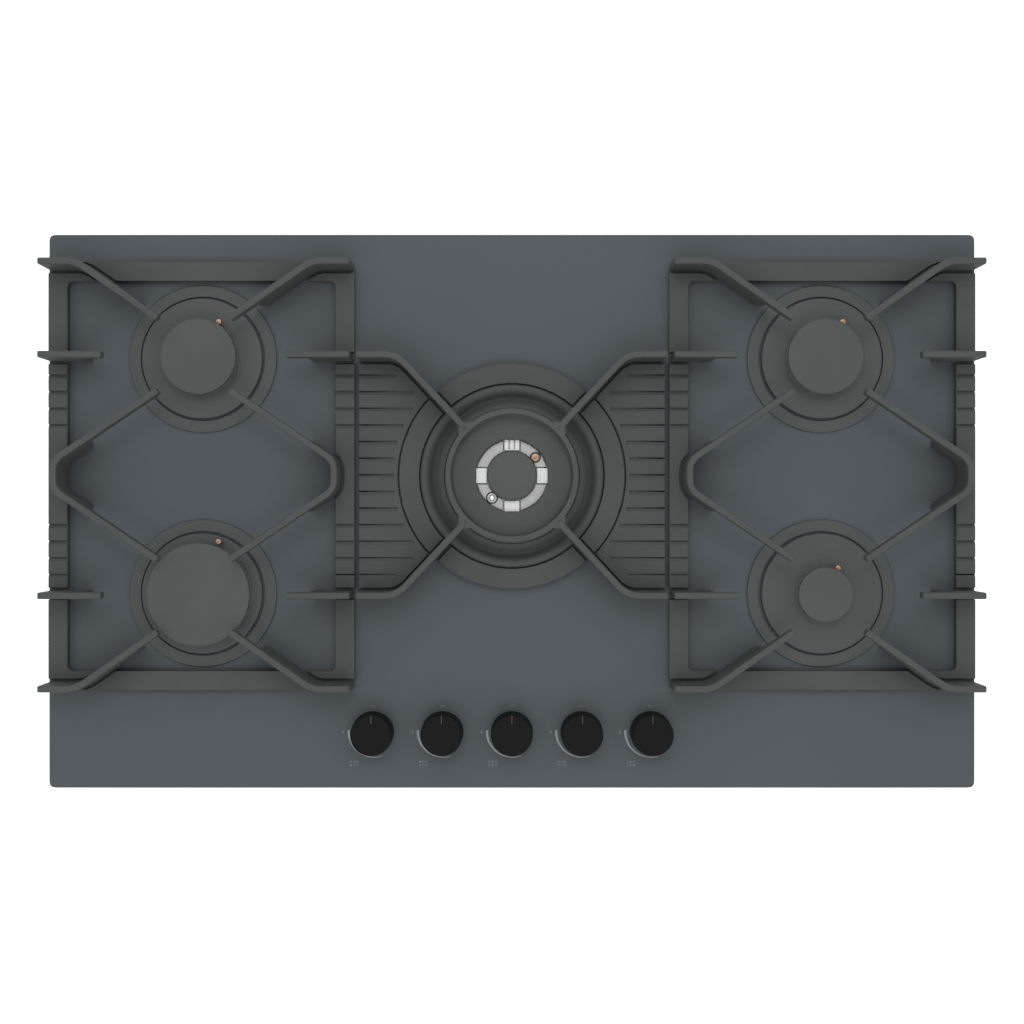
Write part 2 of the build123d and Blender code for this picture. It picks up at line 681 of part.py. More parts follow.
HALF_LENGTH = SIDE_GRATE_LENGTH / 2
HALF_DEPTH = GRATE_DEPTH / 2
OPENING_LENGTH = SIDE_GRATE_LENGTH - 2 * GRATE_BAR
OPENING_DEPTH = GRATE_DEPTH - 2 * GRATE_BAR
ROOT_RISE = FINGER_BOTTOM - FRAME_BOTTOM
CORNER_RIB_Y = HALF_DEPTH - CORNER_RIB_INSET
OUTER_TIP = (TIP_OFFSET, BURNER_HALF_PITCH + TIP_OFFSET)
INNER_TIP = (TIP_OFFSET, BURNER_HALF_PITCH - TIP_OFFSET)
V_RIB_X = HALF_LENGTH - V_RIB_INSET

CORNER_RIB = eased(
    [
        (HALF_LENGTH - RIB_EDGE_INSET, CORNER_RIB_Y),
        (HALF_LENGTH - CORNER_RIB_BEND, CORNER_RIB_Y),
        OUTER_TIP,
    ],
    RIB_EASE,
)
SHORT_RIB = [
    (HALF_LENGTH - RIB_EDGE_INSET, BURNER_HALF_PITCH),
    (HALF_LENGTH - SHORT_RIB_LENGTH, BURNER_HALF_PITCH),
]
V_ARM = eased([(V_RIB_X, 0), (V_RIB_X, V_RIB_HALF), INNER_TIP], RIB_EASE)
ROOT_TAPER = degrees(atan(FINGER_ROOT / ROOT_RISE))
GROOVE_WIDTH = RIB_WIDTH + 2 * RIB_GROOVE_WIDTH


def foot_places(length, depth, place):
    """Centres of the four rubber feet under a grate."""
    reach_x = length / 2 - GRATE_BAR / 2
    reach_y = depth / 2 - GRATE_BAR / 2
    return [(place[0] + i * reach_x, place[1] + j * reach_y) for i in (1, -1) for j in (1, -1)]


for side, centre_x in (("left", -SIDE_X), ("right", SIDE_X)):
    place = (centre_x, GRATE_Y)
    ribs = four_ways(CORNER_RIB, place) + four_ways(SHORT_RIB, place) + four_ways(V_ARM, place)
    grooves = four_ways(to_edge(CORNER_RIB, HALF_LENGTH), place)
    grooves += four_ways(to_edge(SHORT_RIB, HALF_LENGTH), place) + four_ways(V_ARM, place)
    with BuildPart() as grate:
        with BuildSketch(Plane.XY.offset(FRAME_BOTTOM)):
            strips(ribs, RIB_WIDTH)
        extrude(amount=RIB_TOP_Z - FRAME_BOTTOM, dir=(0, 0, 1))
        with BuildSketch(Plane.XY.offset(FRAME_BOTTOM)):
            with Locations(place):
                Rectangle(OPENING_LENGTH, OPENING_DEPTH)
        extrude(amount=ROOT_RISE, taper=ROOT_TAPER, mode=Mode.SUBTRACT)
        with BuildSketch(Plane.XY.offset(FRAME_BOTTOM)):
            with Locations(place):
                RectangleRounded(SIDE_GRATE_LENGTH, GRATE_DEPTH, GRATE_CORNER_R)
                RectangleRounded(OPENING_LENGTH, OPENING_DEPTH, OPENING_CORNER_R, mode=Mode.SUBTRACT)
        extrude(amount=FRAME_HEIGHT - RIB_GROOVE_DEPTH)
        # The top of the frame stops short of each rib and leaves a narrow groove.
        with BuildSketch(Plane.XY.offset(FRAME_TOP - RIB_GROOVE_DEPTH)):
            with Locations(place):
                RectangleRounded(SIDE_GRATE_LENGTH, GRATE_DEPTH, GRATE_CORNER_R)
                RectangleRounded(OPENING_LENGTH, OPENING_DEPTH, OPENING_CORNER_R, mode=Mode.SUBTRACT)
            for line in grooves:
                Polygon(*ribbon(line, GROOVE_WIDTH), align=None, mode=Mode.SUBTRACT)
        extrude(amount=RIB_GROOVE_DEPTH)
    save(grate, f"grate_{side}")

    with BuildPart() as feet:
        with BuildSketch(Plane.XY.offset(GLASS_TOP)):
            with Locations(*foot_places(SIDE_GRATE_LENGTH, GRATE_DEPTH, place)):
                Rectangle(FOOT_SIZE, FOOT_SIZE)
        extrude(amount=FOOT_HEIGHT)
    save(feet, f"grate_feet_{side}")

CENTRE_HALF = CENTRE_GRATE_LENGTH / 2
PAN_RING_MIDDLE_R = (PAN_RING_INNER_R + PAN_RING_OUTER_R) / 2
CENTRE_RIB = eased(
    [
        (CENTRE_HALF - RIB_EDGE_INSET, CENTRE_RIB_HALF),
        (CENTRE_HALF - CENTRE_RIB_BEND, CENTRE_RIB_HALF),
        polar((0, 0), PAN_RING_MIDDLE_R, CENTRE_RIB_ANGLE),
    ],
    RIB_EASE,
)
PLATE_EDGE = CENTRE_HALF - CENTRE_RIB_BEND

with BuildPart() as grate_centre:
    with BuildSketch(Plane.XY.offset(FRAME_BOTTOM)):
        strips(four_ways(CENTRE_RIB, CENTRE), RIB_WIDTH)
    extrude(amount=RIB_TOP_Z - FRAME_BOTTOM, dir=(0, 0, 1))
    with BuildSketch(section(CENTRE)):
        outline(
            [
                (0, FRAME_BOTTOM),
                (CENTRE_RING_INNER_R, FRAME_BOTTOM),
                (CENTRE_RING_INNER_R, FRAME_TOP),
                (CENTRE_RING_INNER_R - PAN_RING_ROOT, PAN_RING_BOTTOM),
                (0, PAN_RING_BOTTOM),
            ]
        )
    revolve(axis=upright(CENTRE), mode=Mode.SUBTRACT)
    with BuildSketch(section(CENTRE)):
        outline(
            [
                (0, GLASS_TOP + PAN_RING_TOP),
                (PAN_RING_OUTER_R, GLASS_TOP + PAN_RING_TOP),
                (PAN_RING_OUTER_R + PAN_RING_ROOT, RIB_TOP_Z),
                (0, RIB_TOP_Z),
            ]
        )
    revolve(axis=upright(CENTRE), mode=Mode.SUBTRACT)
    with BuildSketch(Plane.XY.offset(PAN_RING_BOTTOM)):
        with Locations(CENTRE):
            Circle(PAN_RING_OUTER_R)
            Circle(PAN_RING_INNER_R, mode=Mode.SUBTRACT)
    extrude(amount=PAN_RING_HEIGHT)
    with BuildSketch(Plane.XY.offset(FRAME_BOTTOM)) as centre_plates:
        for side in (1, -1):
            with Locations(CENTRE):
                Polygon(
                    (side * CENTRE_HALF, CENTRE_PLATE_HALF),
                    (side * PLATE_EDGE, CENTRE_PLATE_HALF),
                    (side * CENTRE_PLATE_NECK, CENTRE_PLATE_NECK_Y),
                    (side * CENTRE_PLATE_NECK, -CENTRE_PLATE_NECK_Y),
                    (side * PLATE_EDGE, -CENTRE_PLATE_HALF),
                    (side * CENTRE_HALF, -CENTRE_PLATE_HALF),
                    align=None,
                )
        with Locations(CENTRE):
            Circle(CENTRE_RING_OUTER_R)
            Circle(CENTRE_RING_INNER_R, mode=Mode.SUBTRACT)
    extrude(amount=FRAME_HEIGHT - RIB_GROOVE_DEPTH)
    with BuildSketch(Plane.XY.offset(FRAME_TOP - RIB_GROOVE_DEPTH)):
        add(centre_plates.sketch_local)
        for line in four_ways(to_edge(CENTRE_RIB, CENTRE_HALF), CENTRE):
            Polygon(*ribbon(line, GROOVE_WIDTH), align=None, mode=Mode.SUBTRACT)
    extrude(amount=RIB_GROOVE_DEPTH)
save(grate_centre, "grate_centre")

with BuildPart() as feet:
    with BuildSketch(Plane.XY.offset(GLASS_TOP)):
        with Locations(*foot_places(CENTRE_GRATE_LENGTH, 2 * CENTRE_PLATE_HALF, CENTRE)):
            Rectangle(FOOT_SIZE, FOOT_SIZE)
    extrude(amount=FOOT_HEIGHT)
save(feet, "grate_feet_centre")
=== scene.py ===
# %% [markdown]
# # A five-burner gas cooktop, dressed for the camera
#
# The CAD model is the fixed frame: it says where every piece is and how it moves.
# This notebook gives that frame its looks. Round pieces are spun, cast pieces are
# cut and rounded, and every surface gets a finish made of shader nodes. We start
# by loading the frame.

# %% Load the frame
from math import asin, cos, degrees, pi, radians, sin

import bpy
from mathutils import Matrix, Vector


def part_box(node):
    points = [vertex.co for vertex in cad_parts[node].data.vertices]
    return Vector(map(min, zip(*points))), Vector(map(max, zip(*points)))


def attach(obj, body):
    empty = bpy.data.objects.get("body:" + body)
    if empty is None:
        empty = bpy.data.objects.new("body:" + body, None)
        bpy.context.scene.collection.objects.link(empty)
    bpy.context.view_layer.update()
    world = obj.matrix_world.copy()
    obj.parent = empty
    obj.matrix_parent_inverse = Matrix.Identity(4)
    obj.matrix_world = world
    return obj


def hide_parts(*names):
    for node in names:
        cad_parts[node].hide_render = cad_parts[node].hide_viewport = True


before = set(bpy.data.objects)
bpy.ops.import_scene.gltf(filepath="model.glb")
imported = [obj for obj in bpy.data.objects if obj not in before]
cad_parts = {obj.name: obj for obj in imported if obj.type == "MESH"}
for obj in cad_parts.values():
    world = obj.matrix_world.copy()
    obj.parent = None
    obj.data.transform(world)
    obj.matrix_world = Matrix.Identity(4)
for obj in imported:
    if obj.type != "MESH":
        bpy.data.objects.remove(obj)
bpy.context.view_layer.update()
MM = 0.001
bpy.context.tool_settings.mesh_select_mode = (True, False, False)


# %% [markdown]
# ## Where things are
#
# A new piece has to sit on the axis of the CAD node that it dresses. Typing the
# places in again would go wrong as soon as the CAD model changes, so we measure
# them: the middle of a round node's box is its axis and half its width is its
# radius. Everything below is written in millimetres, as on a drawing.

# %% Measure the frame
def span(node):
    """The lowest and highest corner of a CAD node, in millimetres."""
    low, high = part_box(node)
    return low / MM, high / MM


def axis_and_radius(node):
    """The axis (x, y) and the radius of a round CAD node, in millimetres."""
    low, high = span(node)
    return (round((low.x + high.x) / 2, 1), round((low.y + high.y) / 2, 1)), (high.x - low.x) / 2


GLASS_TOP = span("glass_panel")[1].z
FOOT_GAP, FRAME_THICK = 2.0, 7.0
FRAME_LOW = GLASS_TOP + FOOT_GAP
FRAME_TOP = FRAME_LOW + FRAME_THICK
RIB_TOP = span("grate_left")[1].z
SIDES = ("rear_left", "rear_right", "front_left", "front_right")
SIDE_BURNERS = {name: axis_and_radius(f"cap_{name}") for name in SIDES}
PLACES = [place for place, _ in SIDE_BURNERS.values()]
CENTRE, INNER_CAP_R = axis_and_radius("centre_inner_cap")
KNOBS = [axis_and_radius(f"knob_{k}")[0] for k in range(1, 6)]
print("side burners:", SIDE_BURNERS)
print("centre:", CENTRE, "knobs:", KNOBS, "rib top:", RIB_TOP)


# %% [markdown]
# ## The camera
#
# The photograph looks straight down on the middle of the glass from about 1.3 m,
# which the spread of the tall pieces shows: the knobs' tops lie further out than
# their feet. The camera could be aimed with a constraint, but a camera that is not
# turned looks down already, so it only needs its place and its lens.

# %% Set up the camera
CAMERA_PLACE = (0.0001, -0.0007, 1.345)
LENS, FILM_WIDTH = 50, 36
bpy.ops.object.camera_add(location=CAMERA_PLACE, rotation=(0, 0, 0))
camera = bpy.context.object
camera.name = "photo_camera"
camera.data.lens = LENS
camera.data.sensor_width = FILM_WIDTH
camera.data.clip_start = 0.01
bpy.context.scene.camera = camera
bpy.context.scene.view_settings.view_transform = "Standard"
print("camera at", tuple(round(v, 4) for v in camera.location))


# %% [markdown]
# ## Shader arithmetic
#
# A finish is a small sum: so much grain, times so much contrast, plus a base
# colour. Placing Math nodes by hand hides that sum, so one class wraps an output
# socket and turns + and * into Math nodes, and another holds a material and
# makes every other kind of node.

# %% Sockets that can be added and multiplied
class Signal:
    """An output socket of a finish, for use in plain arithmetic."""

    def __init__(self, finish, socket):
        self.finish = finish
        self.socket = socket

    def math(self, operation, first, second):
        return self.finish.node("ShaderNodeMath", {"operation": operation}, {0: first, 1: second})

    def __add__(self, other):
        return self.math("ADD", self, other)

    def __radd__(self, other):
        return self.math("ADD", other, self)

    def __mul__(self, other):
        return self.math("MULTIPLY", self, other)

    def __rmul__(self, other):
        return self.math("MULTIPLY", other, self)


class Finish:
    """A material, its main shader and the few moves with which all finishes are made."""

    def __init__(self, name, **constants):
        self.material = bpy.data.materials.new(name)
        self.material.use_nodes = True
        self.tree = self.material.node_tree
        self.shader = self.tree.nodes["Principled BSDF"]
        for socket, value in constants.items():
            self.shader.inputs[socket.replace("_", " ")].default_value = value
        self.place = self.node("ShaderNodeTexCoord", output="Object")

    def node(self, kind, settings=None, inputs=None, output=0):
        """Make a node, set it up, feed its inputs and return one of its outputs."""
        node = self.tree.nodes.new(kind)
        for key, value in (settings or {}).items():
            if key == "stops":
                for stop, (position, level) in zip(node.color_ramp.elements, value):
                    stop.position = position
                    stop.color = (level, level, level, 1)
            else:
                setattr(node, key, value)
        for key, value in (inputs or {}).items():
            self.feed(node.inputs[key], value)
        return Signal(self, node.outputs[output])

    def feed(self, socket, value):
        """Link a signal to a socket, or write a plain value into it."""
        if isinstance(value, Signal):
            self.tree.links.new(value.socket, socket)
        else:
            socket.default_value = value

    def set(self, **inputs):
        """Feed sockets of the main shader by name, with _ for a space."""
        for name, value in inputs.items():
            self.feed(self.shader.inputs[name.replace("_", " ")], value)
        return self

    def noise(self, scale, detail=3.0, roughness=0.5):
        """Cloudy noise between 0 and 1; scale is in features per metre."""
        inputs = {"Vector": self.place, "Scale": scale, "Detail": detail, "Roughness": roughness}
        return self.node("ShaderNodeTexNoise", inputs=inputs)

    def ramp(self, signal, low, high):
        """Stretch a signal, so that low becomes 0 and high becomes 1."""
        stops = {"stops": [(low, 0.0), (high, 1.0)]}
        return self.node("ShaderNodeValToRGB", stops, {"Fac": signal})

    def blend(self, factor, first, second):
        """Mix two colours; factor 0 gives the first. A colour mix has its sockets at 0, 6 and 7."""
        inputs = {0: factor, 6: first, 7: second}
        return self.node("ShaderNodeMix", {"data_type": "RGBA"}, inputs, output=2)

    def bump(self, height, depth):
        """Let a height signal tilt the surface; depth is in metres."""
        return self.node("ShaderNodeBump", inputs={"Height": height, "Distance": depth})


def linear(*screen):
    """A colour picked as 0 to 255 on screen, as the linear colour that a shader takes."""
    shares = [value / 255 for value in screen]
    return (*[v / 12.92 if v < 0.0404 else ((v + 0.055) / 1.055) ** 2.4 for v in shares], 1.0)


print("half grey on the screen is", round(linear(128, 128, 128)[0], 3), "to a shader")


# %% [markdown]
# ## Finishes of the top
#
# Seen from a step away the glass is a satin slate grey, the cast iron and the caps
# are a neutral enamel grey, and the knobs are nearly black. None is one flat
# colour: enamel has a fine orange peel, cast iron is sandy, and the glass is
# printed from below, so its colour is a little cloudy. Photographs of such
# surfaces could be laid over the pieces, but then they would need unwrapping and
# would blur close up. So each finish is a base colour that noise moves by a few
# percent, a roughness that follows the same noise, and a bump at the scale of the
# real grain.

# %% Enamel, iron, glass and knob finishes
def grainy(name, dark, light, roughness, grain, depth, cloud=18.0, **constants):
    """A painted or moulded finish: two shades mixed by noise, and a bump of grain per metre."""
    finish = Finish(name, **constants)
    clouds = finish.ramp(finish.noise(cloud, 4.0), 0.3, 0.7)
    sand = finish.noise(grain, 2.0, 0.6)
    tone = clouds * 0.55 + sand * 0.45
    low, high = roughness
    finish.set(
        Base_Color=finish.blend(tone, linear(*dark), linear(*light)),
        Roughness=low + (high - low) * tone,
        Normal=finish.bump(sand, depth),
    )
    return finish.material


cast_iron = grainy(
    "cast_iron", (73, 75, 74), (83, 85, 84), (0.5, 0.66), grain=1400, depth=0.00012,
    Specular_IOR_Level=0.12,
)
enamel = grainy(
    "satin_enamel", (71, 73, 73), (79, 81, 81), (0.4, 0.5), grain=700, depth=0.00003,
    Specular_IOR_Level=0.25,
)
knob_black = grainy(
    "knob_black", (11, 11, 11), (15, 15, 15), (0.42, 0.55), grain=2200, depth=0.00003,
    Specular_IOR_Level=0.1,
)
slate_glass = grainy(
    "slate_glass", (78, 84, 88), (84, 90, 94), (0.42, 0.5), grain=500, depth=0.000006, cloud=5.0,
    Specular_IOR_Level=0.1,
)
print("finishes of the top:", [m.name for m in (cast_iron, enamel, knob_black, slate_glass)])


# %% [markdown]
# ## Painted shade and painted light on the enamel
#
# In the bowl of the centre burner the enamel is coloured darker in the valley, a
# painted shade for the shade of the hollow. On the ring cap it is coloured paler
# towards the rim, a painted light against the shade of the pan ring above it. That
# could be painted by hand, but both follow the height of a point, so the height is
# taken from the object coordinates and blends two shades.

# %% Enamel with painted shade and light that follows the height
def graded(name, lower, upper, low, high):
    """Enamel with painted shade and light: one colour goes to another between two heights, in
    millimetres.
    """
    finish = Finish(name, Specular_IOR_Level=0.12)
    height = finish.node("ShaderNodeSeparateXYZ", inputs={"Vector": finish.place}, output="Z")
    sand = finish.noise(700, 2.0, 0.6)
    # Painted shade and light: the colour follows the height of the point.
    painted_shade_share = finish.ramp(height, low * MM, high * MM)
    finish.set(
        Base_Color=finish.blend(painted_shade_share, linear(*lower), linear(*upper)),
        Roughness=0.34 + 0.14 * sand,
        Normal=finish.bump(sand, 0.00003),
    )
    return finish.material


# Painted shade: the valley of the bowl is coloured darker, for the shade of the hollow.
bowl_enamel_painted_shade = graded("bowl_enamel_painted_shade", (46, 47, 47), (80, 82, 82), GLASS_TOP + 1.4, GLASS_TOP + 5.4)
print("graded finish:", bowl_enamel_painted_shade.name)


# %% [markdown]
# ## Bare metals and the small parts
#
# The burner crowns are cast aluminium with a blasted, slightly cloudy skin, rougher
# and darker on the floor of the moat. The box is zinc-coated sheet, whose crystals
# show as grey flakes: they could be noise too, but a Voronoi pattern gives every
# crystal a shade of its own, as on the real sheet. The plugs' glazed ceramic, the
# copper and the rubber are small, but each still has its own grain.

# %% Metal and small finishes
def metal(name, dark, light, roughness, grain=900.0, depth=0.00002):
    """Bare metal with a cloudy skin."""
    finish = Finish(name, Metallic=1.0)
    clouds = finish.noise(60.0, 4.0)
    sand = finish.noise(grain, 2.0)
    finish.set(
        Base_Color=finish.blend(clouds, linear(*dark), linear(*light)),
        Roughness=roughness + 0.15 * clouds,
        Normal=finish.bump(sand, depth),
    )
    return finish.material


def spangled(name):
    """Zinc-coated sheet with its flaky crystals."""
    finish = Finish(name, Metallic=1.0)
    inputs = {"Vector": finish.place, "Scale": 130.0}
    crystal = finish.node("ShaderNodeTexVoronoi", inputs=inputs, output="Color")
    flake = finish.node("ShaderNodeSeparateColor", inputs={"Color": crystal})
    finish.set(
        Base_Color=finish.blend(flake, linear(166, 169, 171), linear(184, 187, 189)),
        Roughness=0.36 + 0.1 * flake,
        Normal=finish.bump(finish.noise(400.0), 0.00002),
    )
    return finish.material


cast_aluminium = metal("cast_aluminium", (176, 176, 176), (200, 200, 200), 0.38)
blasted_aluminium = metal(
    "blasted_aluminium", (138, 138, 138), (180, 180, 180), 0.42, grain=1100.0, depth=0.00005
)
polished_steel = metal("polished_steel", (222, 222, 220), (238, 238, 236), 0.22)
supply_steel = metal("supply_steel", (150, 150, 150), (180, 180, 180), 0.3)
electrode_copper = metal("electrode_copper", (138, 108, 88), (184, 152, 128), 0.3)
zinc_sheet = spangled("zinc_sheet")
ceramic = grainy("plug_ceramic", (96, 90, 85), (114, 108, 102), (0.2, 0.3), 600, 0.00001)
black_plastic = grainy("black_plastic", (38, 38, 40), (48, 48, 50), (0.45, 0.6), 1500, 0.00004)
soft_rubber = grainy("soft_rubber", (30, 30, 31), (40, 40, 41), (0.75, 0.9), 1200, 0.0001)
pointer_grey = grainy("pointer_grey", (44, 44, 45), (54, 54, 55), (0.5, 0.6), 1500, 0.00002)
print_grey = grainy("print_grey", (134, 139, 143), (148, 153, 157), (0.5, 0.6), 3000, 0.000005)
faint_print = grainy("faint_print", (104, 109, 113), (114, 119, 123), (0.5, 0.6), 3000, 0.000005)
print("finishes in all:", len(bpy.data.materials))


# %% [markdown]
# ## Modelling moves
#
# All new pieces come from a few hand moves: draw a bent line by extruding one
# vertex, spin it or pull it upright, cut with a boolean, round the edges. A mesh
# could also be written down as lists of points and faces, but these moves can be
# tried by hand, because each is a short function over the operators that the menus
# offer. An operator works on whatever is selected, so a move first selects its
# piece alone.

# %% Select, edit and apply
def focus(piece):
    """Make one piece the only selected and the active one."""
    bpy.ops.object.select_all(action="DESELECT")
    piece.select_set(True)
    bpy.context.view_layer.objects.active = piece
    return piece


def edit(piece, *moves):
    """Run operators on the whole of a piece in edit mode."""
    focus(piece)
    bpy.ops.object.mode_set(mode="EDIT")
    for operator, settings in moves:
        bpy.ops.mesh.select_all(action="SELECT")
        operator(**settings)
    bpy.ops.object.mode_set(mode="OBJECT")
    return piece


MERGE = (bpy.ops.mesh.remove_doubles, {"threshold": 1e-6})
OUTWARDS = (bpy.ops.mesh.normals_make_consistent, {"inside": False})


def applied(piece, kind, **settings):
    """Add one modifier with its settings, and apply it."""
    focus(piece)
    modifier = piece.modifiers.new(kind.title(), kind)
    for key, value in settings.items():
        setattr(modifier, key, value)
    bpy.ops.object.modifier_apply(modifier=modifier.name)
    return piece


def joined(name, pieces):
    """Several pieces as one, under a new name."""
    focus(pieces[0])
    for piece in pieces:
        piece.select_set(True)
    if len(pieces) > 1:
        bpy.ops.object.join()
    pieces[0].name = name
    return pieces[0]


def copied(piece, x=0.0, y=0.0):
    """A copy with a mesh of its own, moved in millimetres."""
    focus(piece)
    bpy.ops.object.duplicate()
    return moved(bpy.context.object, x, y)


def moved(piece, x, y):
    """Move a mesh, and not its object, in millimetres."""
    return edit(piece, (bpy.ops.transform.translate, {"value": (x * MM, y * MM, 0)}))


def cut(piece, tool, operation="DIFFERENCE"):
    """Cut a piece with a tool, which is used up."""
    applied(piece, "BOOLEAN", operation=operation, object=tool, solver="EXACT")
    bpy.data.objects.remove(tool)
    return piece


def rounded(piece, width, segments=3, angle=35.0):
    """Round all edges that are sharper than an angle, and smooth the shading."""
    limit = radians(angle)
    applied(
        piece, "BEVEL", width=width * MM, segments=segments, limit_method="ANGLE", angle_limit=limit,
        use_clamp_overlap=False, miter_outer="MITER_ARC",
    )
    edit(piece, (bpy.ops.mesh.remove_doubles, {"threshold": 1e-5}), OUTWARDS)
    return smoothed(piece)


def smoothed(piece, angle=32.0):
    """Smooth shading everywhere but on true edges."""
    focus(piece)
    bpy.ops.object.shade_smooth_by_angle(angle=radians(angle))
    return applied(piece, "WEIGHTED_NORMAL", keep_sharp=True)


MOVES = (focus, edit, applied, joined, copied, moved, cut, rounded, smoothed)
print("moves:", ", ".join(move.__name__ for move in MOVES))


# %% [markdown]
# A bent line starts as a plane that is merged into one vertex, and each further
# point extrudes it. Corners are rounded before the line is drawn: on each side of
# the corner we step back a little, and a curve joins the two ends. That rounds a
# turned edge and a bent rib with the same four lines.

# %% Bent lines, turned pieces, walls and slabs
def eased(outline, reach, parts=4, closed=True):
    """Corner points, each (x, y) or (x, y, own reach), with every corner rounded off."""
    path = []
    for i, (x, y, *own) in enumerate(outline):
        corner = Vector((x, y))
        size = own[0] if own else reach
        if size == 0 or (not closed and i in (0, len(outline) - 1)):
            path.append(corner)
            continue
        before = Vector(outline[i - 1][:2]) - corner
        after = Vector(outline[(i + 1) % len(outline)][:2]) - corner
        start = corner + before.normalized() * size
        end = corner + after.normalized() * size
        for step in range(parts + 1):
            share = step / parts
            path.append(start.lerp(corner, share).lerp(corner.lerp(end, share), share))
    return path


def drawn(name, points):
    """A bent line through points, in metres, as a new piece in edit mode, all selected."""
    bpy.ops.object.select_all(action="DESELECT")
    bpy.ops.mesh.primitive_plane_add(size=MM, location=points[0])
    piece = bpy.context.object
    piece.name = name
    bpy.ops.object.transform_apply(location=True, rotation=True, scale=True)
    bpy.ops.object.mode_set(mode="EDIT")
    bpy.ops.mesh.merge(type="CENTER")
    for start, end in zip(points, points[1:]):
        bpy.ops.mesh.extrude_vertices_move(TRANSFORM_OT_translate={"value": end - start})
    bpy.ops.mesh.select_all(action="SELECT")
    bpy.ops.mesh.remove_doubles(threshold=1e-7)
    return piece


def turned(name, outline, place=(0.0, 0.0), steps=96):
    """Spin an outline of (radius, height) about the upright axis at place."""
    x, y = place
    loop = [Vector((x + r, y, z)) * MM for r, z in outline]
    if min(r for r, _ in outline) > 0:
        loop.append(loop[0])
    piece = drawn(name, loop)
    bpy.ops.mesh.spin(steps=steps, angle=2 * pi, center=(x * MM, y * MM, 0), axis=(0, 0, 1))
    bpy.ops.object.mode_set(mode="OBJECT")
    edit(piece, MERGE, OUTWARDS)
    return smoothed(piece)


def wall(name, line, width, low, high):
    """A wall of even width that stands on a bent line, between two heights."""
    piece = drawn(name, [Vector((x, y, low)) * MM for x, y in line])
    lift = {"value": (0, 0, (high - low) * MM)}
    bpy.ops.mesh.extrude_region_move(TRANSFORM_OT_translate=lift)
    bpy.ops.object.mode_set(mode="OBJECT")
    applied(piece, "SOLIDIFY", thickness=width * MM, offset=0.0, use_even_offset=True)
    return edit(piece, MERGE, OUTWARDS)


def slab(name, outline, low, high):
    """A flat outline, filled and pulled up between two heights."""
    loop = [Vector((x, y, low)) * MM for x, y in outline]
    piece = drawn(name, loop + loop[:1])
    bpy.ops.mesh.edge_face_add()
    bpy.ops.mesh.extrude_region_move(TRANSFORM_OT_translate={"value": (0, 0, (high - low) * MM)})
    bpy.ops.object.mode_set(mode="OBJECT")
    return edit(piece, MERGE, OUTWARDS)


def oblong(length, depth, corner, x=0.0, y=0.0):
    """The outline of a rectangle with rounded corners."""
    signs = ((1, 1), (-1, 1), (-1, -1), (1, -1))
    corners = [(x + i * length / 2, y + j * depth / 2) for i, j in signs]
    return eased(corners, corner) if corner else [Vector(c) for c in corners]


def disc(radius, place, steps=64, start=0.0, turn=360.0):
    """Points round a circle or along an arc, angles in degrees."""
    angles = [radians(start + turn * k / steps) for k in range(steps)]
    return [Vector((place[0] + radius * cos(a), place[1] + radius * sin(a))) for a in angles]


def dress(piece, finish, body, slot, *nodes):
    """Give a piece its material, the body that it rides on and the nodes that it replaces."""
    piece.data.materials.clear()
    piece.data.materials.append(finish)
    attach(piece, body)
    if nodes:
        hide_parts(*nodes)
    print(f"{piece.name}: {len(piece.data.polygons)} faces")


print("a right angle eased by 2 mm:", eased([(0, 0), (9, 0), (9, 9)], 2.0, closed=False))


# %% [markdown]
# ## The glass
#
# The top is one sheet of tempered glass with ground edges, and holes for the
# burners and the knob spindles. It could be a scaled cube, but a filled outline
# pulled up by 6 mm gives the rounded corners at once. Round slabs cut the holes,
# and a narrow bevel makes the ground edge that catches the light all round.

# %% Glass panel
low, high = span("glass_panel")
GLASS_CORNER, GROUND_EDGE = 6.0, 0.8
SIDE_HOLE_R, CENTRE_HOLE_R, SPINDLE_HOLE_R = 30.0, 46.0, 7.0
glass = slab("glass_top", oblong(high.x - low.x, high.y - low.y, GLASS_CORNER), low.z, high.z)
holes = [(place, SIDE_HOLE_R) for place in PLACES] + [(CENTRE, CENTRE_HOLE_R)]
holes += [(place, SPINDLE_HOLE_R) for place in KNOBS]
drills = [slab("drill", disc(r, place, 48), low.z - 1, high.z + 1) for place, r in holes]
cut(glass, joined("drills", drills))
rounded(glass, GROUND_EDGE, 3, 50)
dress(glass, slate_glass, "cooktop", "tinted_glass", "glass_panel")


# %% [markdown]
# ## The side burners
#
# Each side burner is a stack of turned pieces: a flat trim ring on the glass, a
# base plate in the middle of it, the aluminium crown and the enamelled cap. On the
# photograph thin black gaps part them. Those could be painted on, but a real gap
# between two rounded edges is dark from every side. One ring and one base are spun
# and then copied four times.

# %% Trim rings and bases
RING_IN, RING_OUT, RING_TOP = 58.1, 69.2, GLASS_TOP + 2.5
BASE_R, BASE_TOP = 56.3, GLASS_TOP + 6.5
RING = [
    (RING_IN, GLASS_TOP, 0),
    (RING_OUT, GLASS_TOP, 0),
    (RING_OUT, RING_TOP, 1.4),
    (RING_IN, RING_TOP, 0.6),
]
BASE = [(0, GLASS_TOP, 0), (BASE_R, GLASS_TOP, 0), (BASE_R, BASE_TOP, 1.6), (0, BASE_TOP, 0)]
base_outline = eased(BASE, 1.0)
side_ring = turned("side_ring", eased(RING, 1.0))
side_base = turned("side_base", base_outline)
rings = [copied(side_ring, *place) for place in PLACES]
bases = [copied(side_base, *place) for place in PLACES]
bpy.data.objects.remove(side_ring)
bpy.data.objects.remove(side_base)
print("trim rings:", len(rings), "bases:", len(bases))


# %% [markdown]
# ## The bowl and the base of the centre burner
#
# The centre burner stands in a shaped bowl of pressed sheet: two raised lips with a
# soft valley between them. A screw modifier could turn it and stay adjustable, but
# nothing is adjusted later, so its section is drawn once and spun. Every corner of
# the section carries its own rounding. The base has the section of the side bases,
# moved out to a larger radius.

